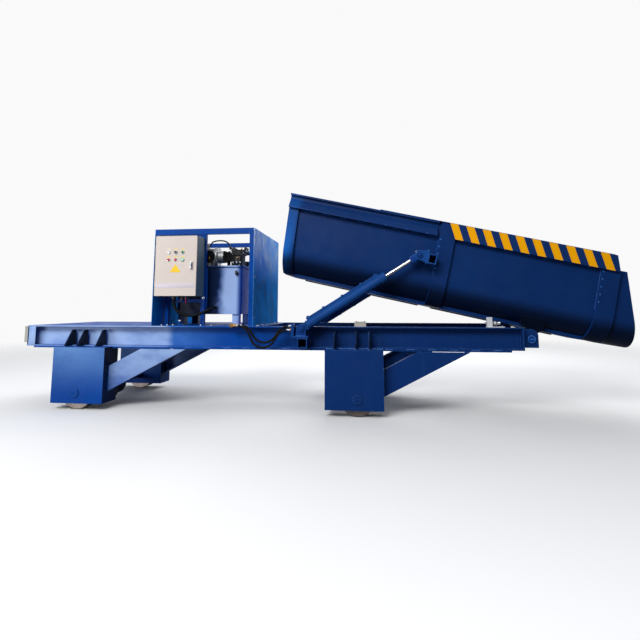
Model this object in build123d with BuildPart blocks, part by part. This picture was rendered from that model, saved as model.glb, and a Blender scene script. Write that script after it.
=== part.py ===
from build123d import *
import math
import os

# Tipping charging car: a rail chassis whose open trough tips nose-down about a front pivot.
# +X runs towards the trough's nose, +Z up, -Y is the near side with the electric cabinet.
# Lengths along the car are stations, measured from the rear end of the side beams.

os.makedirs("parts", exist_ok=True)

SIDES = (("near", -1), ("far", 1))

# ---- Driving dimensions, mm ----
mid_station = 2830.3          # the origin's station: the middle of the whole car
frame_top = 780
frame_half_width = 560
beam_length = 4740
beam_height = 200
flange_width = 75
flange_thickness = 11
web_thickness = 8
base_strip = 16
end_plate = 12
deck_thickness = 6
deck_end = 2400
plate = 12                    # wheel boxes, gussets
running_clearance = 0.05

box_stations = {"rear": 389, "front": 3002}
box_length = 520
box_bottom = 62
box_inner = 460
box_outer = 687
axle_stations = {"rear": 631, "front": 3289}
wheel_centre = 577            # distance of a wheel's middle plane from the car's middle
tread_radius = 130
flange_radius = 157           # the wheel stands on its flanges
axle_radius = 30
cap_radius = 41.5
gusset_stations = (480, 608, 800, 3079, 3277, 3397)

pivot_station = 4826          # the trough's tipping axis
pivot_height = 677
pivot_pin_radius = 25
tilt = 12.6                   # the trough's nose-down angle at rest

trough_rear = -2378           # along the trough, from the pivot
trough_front = 600
trough_bottom = 100           # square to the trough, from the pivot
trough_top = 872
trough_half_width = 533
trough_corner = 248
trough_wall = 10
rear_lean = 5                 # lean of the trough's rear end
rib_proud = 27
rail_bottom = 732
rail_half_width = 590

cylinder_plane = 640          # distance of a cylinder's axis from the car's middle
base_pin_station = 2786
base_pin_height = 765
cylinder_angle = 31.68
cylinder_length = 1255        # pin to pin at rest
barrel_length = 899
barrel_radius = 40
bore_radius = 31.5
rod_radius = 17.5
pin_radius = 17.5
eye_radius = 42
eye_width = 44
lug_gap = 48
lug_thickness = 14
rod_reach = 929               # rod eye to the piston's back face

guard_start = 1282
guard_end = 2298
guard_top = 1728
guard_front = 535
guard_back = 530

cabinet_start = 1301
cabinet_width = 425
cabinet_bottom = 1068
cabinet_height = 592
door_front = 545
door_depth = 18
cabinet_back = 345

lid_top = 1385
tank_start = 1400
tank_end = 2088
tank_bottom = 888
tank_front = 260
tank_back = 200

hose_radius = 10
conduit_radius = 15


# ---- Helpers ----
def x_at(station):
    """X of a station."""
    return station - mid_station


def finish(piece, label):
    """Labels a finished piece and writes its file."""
    piece.part.label = label
    export_step(piece.part, f"parts/{label}.step")


def side_plane(side, inner, outer):
    """Plane with X forward and Z up, from which a plate fills inner..outer on one side."""
    return Plane.XZ.offset(-max(side * inner, side * outer))


def centre_box(x_range, y_range, z_range, mode=Mode.ADD):
    """A box given by its limits."""
    size = [high - low for low, high in (x_range, y_range, z_range)]
    centre = [(low + high) / 2 for low, high in (x_range, y_range, z_range)]
    with Locations(tuple(centre)):
        Box(*size, mode=mode)


def side_range(side, inner, outer):
    """The Y limits of inner..outer on one side."""
    return tuple(sorted((side * inner, side * outer)))


tilt_cos = math.cos(math.radians(tilt))
tilt_sin = math.sin(math.radians(tilt))
pivot = Vector(x_at(pivot_station), 0, pivot_height)
along_trough = Vector(tilt_cos, 0, -tilt_sin)
across_trough = Vector(tilt_sin, 0, tilt_cos)


def trough_section(along, lean=0):
    """Plane square to the trough: X to the far side, Y up the trough, facing its nose."""
    angle = math.radians(tilt + lean)
    normal = (math.cos(angle), 0, -math.sin(angle))
    return Plane(origin=pivot + along_trough * along, x_dir=(0, 1, 0), z_dir=normal)


def trough_side(side, inner, outer):
    """Plane along the trough: X towards its nose, Y up the trough, facing the near side."""
    origin = pivot + Vector(0, max(side * inner, side * outer), 0)
    return Plane(origin=origin, x_dir=along_trough, z_dir=(0, -1, 0))


cylinder_cos = math.cos(math.radians(cylinder_angle))
cylinder_sin = math.sin(math.radians(cylinder_angle))
along_cylinder = Vector(cylinder_cos, 0, cylinder_sin)


def cylinder_section(side, along, aside=0):
    """Plane square to a cylinder, at a distance from its base pin."""
    base = Vector(x_at(base_pin_station), side * cylinder_plane, base_pin_height)
    rise = Vector(-cylinder_sin, 0, cylinder_cos)
    return Plane(origin=base + along_cylinder * along + rise * aside, x_dir=(0, 1, 0), z_dir=along_cylinder)


def cylinder_side(side, half_width):
    """Plane along a cylinder: X towards the rod, Y up, facing the near side."""
    origin = (x_at(base_pin_station), side * cylinder_plane + half_width, base_pin_height)
    return Plane(origin=origin, x_dir=along_cylinder, z_dir=(0, -1, 0))


def u_face(half_width, bottom, top, corner, mode=Mode.ADD):
    """A filled U with flat sides and a flat bottom."""
    with BuildLine() as outline:
        FilletPolyline((-half_width, top), (-half_width, bottom), (half_width, bottom), (half_width, top),
                       radius=corner)
        Line((half_width, top), (-half_width, top))
    make_face(outline.edges(), mode=mode)


def polygon(points, mode=Mode.ADD):
    """A face inside straight edges."""
    with BuildLine() as outline:
        Polyline(*points, close=True)
    make_face(outline.edges(), mode=mode)


def frame_point(station, y, z):
    """A point given by its station."""
    return (x_at(station), y, z)


# ---- Side beams: outward channels with a base strip and end plates ----
web_outer = frame_half_width - flange_width
web_inner = web_outer - web_thickness
beam_bottom = frame_top - beam_height
tube_station = 2798           # square tube that carries the cylinder bases
tube_size = 90
tube_middle = 637
strip_spans = ((77, 389), (909, 3002), (3522, 4642))
flange_top = frame_top - flange_thickness
flange_bottom = beam_bottom + flange_thickness
channel_outline = ((web_inner, beam_bottom), (frame_half_width, beam_bottom),
                   (frame_half_width, flange_bottom), (web_outer, flange_bottom), (web_outer, flange_top),
                   (frame_half_width, flange_top), (frame_half_width, frame_top), (web_inner, frame_top))

for side_name, side in SIDES:
    with BuildPart() as side_beam:
        with BuildSketch(Plane.YZ.offset(x_at(0))):
            polygon([(side * y, z) for y, z in channel_outline])
        extrude(amount=beam_length)
        for start, end in strip_spans:
            centre_box((x_at(start), x_at(end)), side_range(side, 470, frame_half_width),
                       (beam_bottom - base_strip, beam_bottom))
        centre_box((x_at(0), x_at(end_plate)), side_range(side, web_inner, frame_half_width),
                   (beam_bottom, frame_top))
        centre_box((x_at(beam_length), x_at(beam_length + end_plate)),
                   side_range(side, 400, frame_half_width), (beam_bottom, frame_top))
        with Locations(frame_point(tube_station, side * (web_outer - web_thickness / 2), tube_middle)):
            Box(tube_size, 3 * web_thickness, tube_size, mode=Mode.SUBTRACT)
    finish(side_beam, f"side_beam_{side_name}")

# ---- Cross beams between the webs, and the cylinder cross tube through them ----
cross_wall = 6
cross_half = 50
deck_bottom = frame_top - deck_thickness
# (stations, bottom, top): the rear ones carry the deck, the front ones stay below the trough
cross_rows = (((56, 700, 1300, 1900, 2340), 640, deck_bottom), ((3262, 3900, 4300, 4690), 600, 740))
tube_reach = 690
tube_wall = 8

with BuildPart() as cross_beams:
    for stations, bottom, top in cross_rows:
        for station in stations:
            for inset, mode in ((0, Mode.ADD), (cross_wall, Mode.SUBTRACT)):
                half = cross_half - inset
                centre_box((x_at(station - half), x_at(station + half)), (-web_inner, web_inner),
                           (bottom + inset, top - inset), mode=mode)
    with BuildSketch(Plane.XZ.offset(-tube_reach)):
        with Locations((x_at(tube_station), tube_middle)):
            Rectangle(tube_size, tube_size)
            Rectangle(tube_size - 2 * tube_wall, tube_size - 2 * tube_wall, mode=Mode.SUBTRACT)
    extrude(amount=2 * tube_reach)
finish(cross_beams, "cross_beams")

with BuildPart() as deck_plate:
    centre_box((x_at(0), x_at(deck_end)), (-web_inner, web_inner), (deck_bottom, frame_top))
finish(deck_plate, "deck_plate")

# ---- Wheel boxes: open below, holed for the axles ----
axle_hole = {"rear": cap_radius + running_clearance, "front": axle_radius + running_clearance}
box_top = beam_bottom
for end_name, start in box_stations.items():
    for side_name, side in SIDES:
        with BuildPart() as wheel_box:
            centre_box((x_at(start), x_at(start + box_length)), side_range(side, box_inner, box_outer),
                       (box_bottom, box_top))
            centre_box((x_at(start + plate), x_at(start + box_length - plate)),
                       side_range(side, box_inner + plate, box_outer - plate),
                       (box_bottom, box_top - plate), mode=Mode.SUBTRACT)
            with BuildSketch(side_plane(side, box_inner, box_outer)):
                with Locations((x_at(axle_stations[end_name]), flange_radius)):
                    Circle(axle_hole[end_name])
            extrude(amount=box_outer - box_inner, mode=Mode.SUBTRACT)
        finish(wheel_box, f"wheel_box_{end_name}_{side_name}")

# ---- Gusset plates that tie each box top to the beam ----
gusset_low = flange_bottom
gusset_high = 739
gusset_outline = ((web_outer, gusset_low), (web_outer + 22, gusset_high), (frame_half_width, gusset_high),
                  (box_outer - 17, box_top), (frame_half_width, box_top), (frame_half_width, gusset_low))
with BuildPart() as gusset_plates:
    for station in gusset_stations:
        for side_name, side in SIDES:
            with BuildSketch(Plane.YZ.offset(x_at(station) - plate / 2)):
                polygon([(side * y, z) for y, z in gusset_outline])
            extrude(amount=plate)
finish(gusset_plates, "gusset_plates")

# ---- Diagonal braces: channels from each box's front face up to the beam ----
brace_slope = math.tan(math.radians(27.6))
brace_low = 168               # heights of the brace's edges on the box face
brace_high = 402
brace_inner = 520
brace_outer = 600
brace_flange = 12.6           # flange thickness measured upright

with BuildPart() as diagonal_braces:
    strip_bottom = beam_bottom - base_strip
    for start in box_stations.values():
        face = start + box_length
        lower_end = face + (strip_bottom - brace_low) / brace_slope
        upper_end = face + (strip_bottom - brace_high) / brace_slope
        for side_name, side in SIDES:
            with BuildSketch(side_plane(side, brace_inner, brace_outer)):
                polygon([(x_at(face), brace_low), (x_at(face), brace_high), (x_at(upper_end), strip_bottom),
                         (x_at(lower_end), strip_bottom)])
            extrude(amount=brace_outer - brace_inner)
            pocket_low = brace_low + brace_flange
            pocket_high = brace_high - brace_flange
            reach = 900
            with BuildSketch(side_plane(side, brace_inner, brace_outer - web_thickness)):
                polygon([(x_at(s), z) for s, z in (
                    (face - 1, pocket_low - brace_slope), (face - 1, pocket_high - brace_slope),
                    (face + reach, pocket_high + reach * brace_slope),
                    (face + reach, pocket_low + reach * brace_slope))])
            extrude(amount=brace_outer - brace_inner - web_thickness, mode=Mode.SUBTRACT)
finish(diagonal_braces, "diagonal_braces")

# ---- Rear buffers, the near rest pad and the near proximity sensor ----
with BuildPart() as rubber_buffers:
    for side_name, side in SIDES:
        centre_box((x_at(-36), x_at(0)), side_range(side, web_inner + 4, 556), (613, 770))
    centre_box((x_at(3262), x_at(3368)), (-550, -495), (frame_top, 826))
finish(rubber_buffers, "rubber_buffers")

with BuildPart() as proximity_sensor:
    centre_box((x_at(4441), x_at(4594)), (-548, -500), (frame_top, frame_top + 8))
    centre_box((x_at(4445), x_at(4490)), (-542, -506), (frame_top + 8, 870))
    with BuildSketch(Plane.YZ.offset(x_at(4490))):
        with Locations((-524, 818)):
            Circle(15)
    extrude(amount=70)
finish(proximity_sensor, "proximity_sensor")

# ---- Front pivot: a pair of lugs on each side ----
lug_back = beam_length + end_plate
lug_front = 4887
lug_low = 602
lug_high = 766
outer_lug = (486, 506)
inner_lug = (414, 434)
pivot_hole = pivot_pin_radius + running_clearance

with BuildPart() as pivot_brackets:
    for side_name, side in SIDES:
        for inner, outer in (outer_lug, inner_lug):
            with BuildSketch(side_plane(side, inner, outer)) as lug:
                polygon([(x_at(lug_back), lug_low), (x_at(lug_front), lug_low), (x_at(lug_front), lug_high),
                         (x_at(lug_back), lug_high)])
                front_corners = lug.vertices().group_by(Axis.X)[-1].sort_by(Axis.Y)
                fillet(front_corners[-1], radius=60)
                with Locations((x_at(pivot_station), pivot_height)):
                    Circle(pivot_hole, mode=Mode.SUBTRACT)
            extrude(amount=outer - inner)
finish(pivot_brackets, "pivot_brackets")

# ---- Cylinder base clevises on the cross tube ----
clevis_plate = (682, 700)
lug_half = lug_gap / 2
lug_offsets = (lug_half, lug_half + lug_thickness)
pin_hole = pin_radius + running_clearance

with BuildPart() as base_clevises:
    for side_name, side in SIDES:
        centre_box((x_at(2721), x_at(2854)), side_range(side, 565, tube_reach), clevis_plate)
        for direction in (-1, 1):
            near_face, far_face = sorted(cylinder_plane + direction * offset for offset in lug_offsets)
            with BuildSketch(side_plane(side, near_face, far_face)):
                centre = (x_at(base_pin_station), base_pin_height)
                polygon([(centre[0] - 46, clevis_plate[1]), (centre[0] + 46, clevis_plate[1]),
                         (centre[0] + eye_radius, centre[1]), (centre[0] - eye_radius, centre[1])])
                with Locations(centre):
                    Circle(eye_radius)
                    Circle(pin_hole, mode=Mode.SUBTRACT)
            extrude(amount=lug_thickness)
        # union block for the hoses, behind the plate
        centre_box((x_at(2695), x_at(2721)), side_range(side, 600, 682), (682, 806))
finish(base_clevises, "base_clevises")

# ---- Hinge pins that stay in the chassis ----
with BuildPart() as hinge_pins:
    for side_name, side in SIDES:
        with BuildSketch(side_plane(side, 405, 506)):
            with Locations((x_at(pivot_station), pivot_height)):
                Circle(pivot_pin_radius)
        extrude(amount=101)
        with BuildSketch(side_plane(side, 506, 518)):
            with Locations((x_at(pivot_station), pivot_height)):
                Circle(34)
        extrude(amount=12)
        with BuildSketch(side_plane(side, 596, 678)):
            with Locations((x_at(base_pin_station), base_pin_height)):
                Circle(pin_radius)
        extrude(amount=82)
        with BuildSketch(side_plane(side, 678, 690)):
            with Locations((x_at(base_pin_station), base_pin_height)):
                Circle(26)
        extrude(amount=12)
finish(hinge_pins, "hinge_pins")

# ---- Rear axle: bearings in the boxes, one shaft, two wheels ----
rear_axle_x = x_at(axle_stations["rear"])
front_axle_x = x_at(axle_stations["front"])
shaft_hole = axle_radius + running_clearance
cap_face = box_outer + 8
shaft_end = box_outer - 2

with BuildPart() as rear_axle_bearings:
    for side_name, side in SIDES:
        for inner, outer, bore_end in ((box_inner - 12, box_inner + 24, box_inner + 24),
                                       (box_outer - 24, cap_face, box_outer)):
            with BuildSketch(side_plane(side, inner, outer)):
                with Locations((rear_axle_x, flange_radius)):
                    Circle(cap_radius)
            extrude(amount=outer - inner)
            with BuildSketch(side_plane(side, inner, bore_end)):
                with Locations((rear_axle_x, flange_radius)):
                    Circle(shaft_hole)
            extrude(amount=bore_end - inner, mode=Mode.SUBTRACT)
finish(rear_axle_bearings, "rear_axle_bearings")

with BuildPart() as rear_drive_shaft:
    with BuildSketch(Plane.XZ.offset(-shaft_end)):
        with Locations((rear_axle_x, flange_radius)):
            Circle(axle_radius)
    extrude(amount=2 * shaft_end)
finish(rear_drive_shaft, "rear_drive_shaft")

with BuildPart() as front_axle_pins:
    for side_name, side in SIDES:
        for radius, inner, outer in ((cap_radius, box_inner - 10, box_inner),
                                     (axle_radius, box_inner, box_outer),
                                     (cap_radius, box_outer, cap_face)):
            with BuildSketch(side_plane(side, inner, outer)):
                with Locations((front_axle_x, flange_radius)):
                    Circle(radius)
            extrude(amount=outer - inner)
finish(front_axle_pins, "front_axle_pins")

# ---- Wheels: two flanges, a tread, a web and a long hub ----
hub_half = 85
hub_radius = 56
tread_half = 47
flange_half = 67
rim_inner = 100
web_half = 12

for end_name, axle_x in (("rear", rear_axle_x), ("front", front_axle_x)):
    for side_name, side in SIDES:
        middle = side * wheel_centre
        with BuildPart() as wheel:
            with BuildSketch(Plane((axle_x, middle, flange_radius), x_dir=(0, 1, 0), z_dir=(1, 0, 0))):
                half = [(hub_half, shaft_hole), (hub_half, hub_radius), (web_half, hub_radius),
                        (web_half, rim_inner), (flange_half, rim_inner), (flange_half, flange_radius - 6),
                        (flange_half - 6, flange_radius), (tread_half + 8, flange_radius),
                        (tread_half, tread_radius)]
                polygon(half + [(-y, z) for y, z in reversed(half)])
            revolve(axis=Axis((axle_x, middle, flange_radius), (0, 1, 0)))
            with BuildSketch(Plane.XZ.offset(-middle - web_half - 1)):
                with Locations((axle_x, flange_radius)):
                    with PolarLocations(radius=78, count=6):
                        Circle(13)
            extrude(amount=2 * web_half + 2, mode=Mode.SUBTRACT)
        finish(wheel, f"{end_name}_wheel_{side_name}")

# ---- Drive gearmotor, hung on the rear shaft beside the near box ----
gear_case = (-440, -385)
motor_reach = 150
with BuildPart() as drive_gearmotor:
    with BuildSketch(Plane.XZ.offset(-gear_case[1])):
        with Locations((rear_axle_x + 85, 168)):
            RectangleRounded(340, 204, 62)
        with Locations((rear_axle_x, flange_radius)):
            Circle(shaft_hole, mode=Mode.SUBTRACT)
    extrude(amount=gear_case[1] - gear_case[0])
    with BuildSketch(Plane.XZ.offset(-gear_case[1])):
        with Locations((rear_axle_x + 165, 178)):
            Circle(80)
    extrude(amount=-motor_reach)
    with BuildSketch(Plane.XZ.offset(-gear_case[1] - motor_reach)):
        with Locations((rear_axle_x + 165, 178)):
            Circle(74)
    extrude(amount=-34, taper=12)
    # torque arm up to the cross beam at station 700
    centre_box((rear_axle_x + 44, rear_axle_x + 94), (-430, -390), (260, 640))
finish(drive_gearmotor, "drive_gearmotor")

# ---- Guard around the power pack ----
guard_sheet = 4
with BuildPart() as enclosure_panels:
    for face, inward in ((guard_start, 1), (guard_end, -1)):
        sheet = sorted((x_at(face), x_at(face) + inward * guard_sheet))
        centre_box(sheet, (-guard_front, guard_back), (frame_top, guard_top))
        lip = sorted((x_at(face), x_at(face) + inward * 30))
        centre_box(lip, (guard_back - guard_sheet, guard_back), (frame_top, guard_top))
finish(enclosure_panels, "enclosure_panels")

post = 47
header = 56
bar = 40
mount_bar = 1719
strip_station = 1745
guard_inner = (x_at(guard_start + guard_sheet), x_at(guard_end - guard_sheet))
with BuildPart() as enclosure_frame:
    centre_box((guard_inner[1] - post + guard_sheet, guard_inner[1]), (-guard_front, -guard_front + bar),
               (frame_top, guard_top))
    centre_box((guard_inner[0], guard_inner[1]), (-guard_front, -guard_front + bar),
               (guard_top - header, guard_top))
    centre_box((guard_inner[0], guard_inner[1]), (guard_back - bar - guard_sheet, guard_back - guard_sheet),
               (guard_top - header + 6, guard_top))
    centre_box((guard_inner[0], guard_inner[0] + 14), (-guard_front + 200, -guard_front + 240),
               (frame_top, guard_top))
    for station in (1340, mount_bar):
        centre_box((x_at(station - 20), x_at(station + 20)), (-cabinet_back, -cabinet_back + bar),
                   (frame_top, guard_top - header))
    centre_box((guard_inner[0], x_at(mount_bar + 20)), (-cabinet_back, -cabinet_back + bar),
               (guard_top - header, guard_top - 16))
    centre_box((x_at(1340), x_at(mount_bar)), (-cabinet_back, -cabinet_back + 30), (1006, 1042))
    centre_box((x_at(strip_station - 7), x_at(strip_station + 7)), (-309, -300), (945, 1360))
    centre_box((x_at(mount_bar), x_at(strip_station + 7)), (-318, -309), (1330, 1360))
    centre_box((x_at(mount_bar), x_at(strip_station + 7)), (-318, -309), (945, 975))
finish(enclosure_frame, "enclosure_frame")

# ---- Oil tank on four feet, its lid and filler cap ----
tank_middle = ((x_at(tank_start) + x_at(tank_end)) / 2, (tank_back - tank_front) / 2)
tank_size = (tank_end - tank_start, tank_back + tank_front)
tank_rim = lid_top - 8
foot = 70
gland_station = 1830
with BuildPart() as oil_tank:
    with BuildSketch(Plane.XY.offset(tank_bottom)):
        with Locations(tank_middle):
            RectangleRounded(*tank_size, 45)
    extrude(amount=tank_rim - tank_bottom)
    with BuildSketch(Plane.XY.offset(tank_bottom + 4)):
        with Locations(tank_middle):
            RectangleRounded(tank_size[0] - 8, tank_size[1] - 8, 41)
    extrude(amount=tank_rim - tank_bottom, mode=Mode.SUBTRACT)
    with BuildSketch(Plane.XY.offset(tank_rim - 6)):
        with Locations(tank_middle):
            RectangleRounded(tank_size[0] + 36, tank_size[1] + 36, 60)
            RectangleRounded(tank_size[0] - 8, tank_size[1] - 8, 41, mode=Mode.SUBTRACT)
    extrude(amount=6)
    with BuildSketch(Plane.XY.offset(frame_top)):
        with Locations(tank_middle):
            with GridLocations(tank_size[0] - 110, tank_size[1] - 110, 2, 2):
                Rectangle(foot, foot)
    extrude(amount=tank_bottom - frame_top)
    # terminal gland for the cable conduit
    with BuildSketch(Plane.XZ.offset(tank_front)):
        with Locations((x_at(gland_station), 955)):
            Circle(21)
    extrude(amount=16)
finish(oil_tank, "oil_tank")

with BuildPart() as tank_lid:
    with BuildSketch(Plane.XY.offset(tank_rim)):
        with Locations(tank_middle):
            RectangleRounded(tank_size[0] + 36, tank_size[1] + 36, 60)
    extrude(amount=lid_top - tank_rim)
finish(tank_lid, "tank_lid")

with BuildPart() as filler_cap:
    with BuildSketch(Plane.XY.offset(lid_top)):
        with Locations((x_at(2030), 110)):
            Circle(30)
    extrude(amount=45)
    with BuildSketch(Plane.XY.offset(lid_top + 45)):
        with Locations((x_at(2030), 110)):
            Circle(38)
    extrude(amount=32)
    fillet(filler_cap.edges().group_by(Axis.Z)[-1], radius=8)
finish(filler_cap, "filler_cap")

# ---- Pump motor, its rotor, the bell housing and the gear pump ----
motor_y = -150
motor_z = lid_top + 102
motor_radius = 92
motor_span = (1500, 1790)
cowl_start = 1440
bell_end = 1872
pump_end = 1958
motor_axis = Axis((0, motor_y, motor_z), (1, 0, 0))


def on_motor_axis(station):
    """Plane square to the pump motor's axis."""
    return Plane((x_at(station), motor_y, motor_z), x_dir=(0, 1, 0), z_dir=(1, 0, 0))


with BuildPart() as pump_motor:
    with BuildSketch(on_motor_axis(cowl_start)):
        Circle(motor_radius)
    extrude(amount=motor_span[1] - cowl_start)
    with BuildSketch(on_motor_axis(cowl_start + 4)):
        Circle(motor_radius - 14)
    extrude(amount=motor_span[1] - cowl_start - 12, mode=Mode.SUBTRACT)
    with BuildSketch(on_motor_axis(motor_span[1] - 10)):
        Circle(24)
    extrude(amount=20, mode=Mode.SUBTRACT)
    # feet on the lid, and the terminal box on top
    for station in (motor_span[0] + 50, motor_span[1] - 60):
        for shift in (-70, 70):
            centre_box((x_at(station - 20), x_at(station + 20)),
                       (motor_y + shift - 16, motor_y + shift + 16), (lid_top, lid_top + 52))
    centre_box((x_at(1590), x_at(1690)), (motor_y - 45, motor_y + 45), (motor_z + 84, motor_z + 138))
finish(pump_motor, "pump_motor")

rotor_front = bell_end - 32
with BuildPart() as motor_rotor:
    # fan, shaft, laminated core, shaft, coupling
    for start, end, radius in ((cowl_start + 16, cowl_start + 50, 70),
                               (cowl_start + 50, motor_span[0] + 30, 14),
                               (motor_span[0] + 30, motor_span[1] - 30, 54),
                               (motor_span[1] - 30, motor_span[1] + 14, 14),
                               (motor_span[1] + 14, rotor_front, 27)):
        with BuildSketch(on_motor_axis(start)):
            Circle(radius)
        extrude(amount=end - start)
finish(motor_rotor, "motor_rotor")

with BuildPart() as bell_housing:
    with BuildSketch(on_motor_axis(motor_span[1])):
        Circle(motor_radius + 6)
    extrude(amount=22)
    with BuildSketch(on_motor_axis(motor_span[1] + 22)):
        Circle(66)
    extrude(amount=bell_end - motor_span[1] - 22)
    with BuildSketch(on_motor_axis(motor_span[1])):
        Circle(44)
    extrude(amount=bell_end - motor_span[1] - 14, mode=Mode.SUBTRACT)
finish(bell_housing, "bell_housing")

with BuildPart() as gear_pump:
    for start, end, half_width, half_height in ((bell_end, bell_end + 22, 52, 58),
                                                (bell_end + 22, pump_end, 42, 50)):
        centre_box((x_at(start), x_at(end)), (motor_y - half_width, motor_y + half_width),
                   (motor_z - half_height, motor_z + half_height))
    with BuildSketch(Plane.XY.offset(lid_top)):
        with Locations((x_at(1918), motor_y)):
            Circle(17)
    extrude(amount=motor_z - 50 - lid_top)
finish(gear_pump, "gear_pump")

# ---- Valve block, solenoid valves and gauge ----
block_top = lid_top + 118
with BuildPart() as valve_block:
    centre_box((x_at(1972), x_at(2084)), (-236, -106), (lid_top, block_top))
    fillet(valve_block.edges().filter_by(Axis.Z), radius=6)
    centre_box((x_at(2006), x_at(2050)), (-106, -60), (lid_top + 30, lid_top + 74))
finish(valve_block, "valve_block")

with BuildPart() as solenoid_valves:
    for y in (-206, -142):
        centre_box((x_at(2010), x_at(2084)), (y - 24, y + 24), (block_top, block_top + 52))
        for station, coil in ((2084, 62), (2010, -42)):
            with BuildSketch(Plane.YZ.offset(x_at(station))):
                with Locations((y, block_top + 27)):
                    Circle(22)
            extrude(amount=coil)
finish(solenoid_valves, "solenoid_valves")

gauge_centre = (x_at(2116), lid_top + 127)
with BuildPart() as pressure_gauge:
    with BuildSketch(Plane.XZ.offset(277)):
        with Locations(gauge_centre):
            Circle(34)
    extrude(amount=-30)
    with BuildSketch(Plane.XZ.offset(277)):
        with Locations(gauge_centre):
            Circle(29)
    extrude(amount=-3, mode=Mode.SUBTRACT)
    with BuildSketch(Plane.XY.offset(lid_top)):
        with Locations((x_at(2092), -262)):
            Circle(8)
    extrude(amount=112)
finish(pressure_gauge, "pressure_gauge")

# ---- Electric cabinet: shell, door and the controls on it ----
cabinet_x = (x_at(cabinet_start), x_at(cabinet_start + cabinet_width))
cabinet_z = (cabinet_bottom, cabinet_bottom + cabinet_height)
door_back = door_front - door_depth
skin = 2
gland_x = x_at(1460)
gland_y = -440
gland_bottom = cabinet_bottom - 22

with BuildPart() as cabinet_body:
    centre_box(cabinet_x, (-door_back, -cabinet_back), cabinet_z)
    centre_box((cabinet_x[0] + skin, cabinet_x[1] - skin), (-door_back - 1, -cabinet_back - skin),
               (cabinet_z[0] + skin, cabinet_z[1] - skin), mode=Mode.SUBTRACT)
    for x, radius in ((gland_x, 21), (gland_x + 80, 13), (gland_x + 125, 13)):
        with BuildSketch(Plane.XY.offset(cabinet_bottom)):
            with Locations((x, gland_y)):
                Circle(radius)
        extrude(amount=gland_bottom - cabinet_bottom)
finish(cabinet_body, "cabinet_body")

control_x = [x_at(station) for station in (1440, 1511, 1582)]
upper_row = frame_top + 716
lower_row = frame_top + 643
stem_radius = 12
control_hole = stem_radius + running_clearance
bezel_radius = 17
bezel_face = door_front + 5
handle_x = x_at(1678)
handle_top = frame_top + 612
handle_pin = 6

with BuildPart() as cabinet_door:
    centre_box(cabinet_x, (-door_front, -door_back), cabinet_z)
    centre_box((cabinet_x[0] + skin, cabinet_x[1] - skin), (-door_front + skin, -door_back + 1),
               (cabinet_z[0] + skin, cabinet_z[1] - skin), mode=Mode.SUBTRACT)
    for z in (upper_row, lower_row):
        for x in control_x:
            with BuildSketch(Plane.XZ.offset(door_front)):
                with Locations((x, z)):
                    Circle(bezel_radius)
            extrude(amount=bezel_face - door_front)
            with BuildSketch(Plane.XZ.offset(door_back)):
                with Locations((x, z)):
                    Circle(control_hole)
            extrude(amount=bezel_face - door_back + 1, mode=Mode.SUBTRACT)
    centre_box((handle_x - 14, handle_x + 14), (-door_front - 4, -door_front),
               (handle_top - 72, handle_top + 18))
    with BuildSketch(Plane.XZ.offset(door_back)):
        with Locations((handle_x, handle_top)):
            Circle(handle_pin + running_clearance)
    extrude(amount=door_depth + 6, mode=Mode.SUBTRACT)
finish(cabinet_door, "cabinet_door")

with BuildPart() as lock_handle:
    with BuildSketch(Plane.XZ.offset(door_front + 5)):
        with Locations((handle_x, handle_top - 28)):
            SlotOverall(74, 20, rotation=90)
    extrude(amount=14)
    fillet(lock_handle.faces().sort_by(Axis.Y)[0].edges(), radius=4)
    with BuildSketch(Plane.XZ.offset(door_back - 8)):
        with Locations((handle_x, handle_top)):
            Circle(handle_pin)
    extrude(amount=door_front + 5 - door_back + 8)
    # the latch behind the door
    centre_box((handle_x - 8, handle_x + 30), (-door_back + 4, -door_back + 8),
               (handle_top - 8, handle_top + 8))
finish(lock_handle, "lock_handle")

with BuildPart() as selector_knob:
    with BuildSketch(Plane.XZ.offset(door_back + 4)):
        with Locations((control_x[1], upper_row)):
            Circle(stem_radius)
    extrude(amount=bezel_face - door_back)
    with BuildSketch(Plane.XZ.offset(bezel_face + 4)):
        with Locations((control_x[1], upper_row)):
            SlotOverall(26, 9, rotation=-40)
    extrude(amount=13)
finish(selector_knob, "selector_knob")

for label, x, z in (("green_button", control_x[2], upper_row), ("red_button_left", control_x[0], lower_row),
                    ("red_button_right", control_x[1], lower_row)):
    with BuildPart() as button:
        with BuildSketch(Plane.XZ.offset(door_back + 4)):
            with Locations((x, z)):
                Circle(stem_radius)
        extrude(amount=bezel_face + 6 - door_back - 4)
        fillet(button.faces().sort_by(Axis.Y)[0].edges(), radius=1.5)
    finish(button, label)

with BuildPart() as pilot_lamps:
    for x, z in ((control_x[0], upper_row), (control_x[2], lower_row)):
        with BuildSketch(Plane.XZ.offset(door_back + 4)):
            with Locations((x, z)):
                Circle(stem_radius)
        extrude(amount=bezel_face + 4 - door_back - 4)
        fillet(pilot_lamps.faces().sort_by(Axis.Y)[0].edges(), radius=3)
finish(pilot_lamps, "pilot_lamps")


# ---- Flexible lines ----
def bend_radii(points):
    """Arc radius at each inner point: as large as its two runs allow."""
    vectors = [Vector(*point) for point in points]
    radii = []
    for before, corner, after in zip(vectors, vectors[1:], vectors[2:]):
        run = min((corner - before).length, (after - corner).length)
        turn = math.radians((corner - before).get_angle(after - corner))
        radii.append(0.45 * run / math.tan(turn / 2))
    return radii


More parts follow.
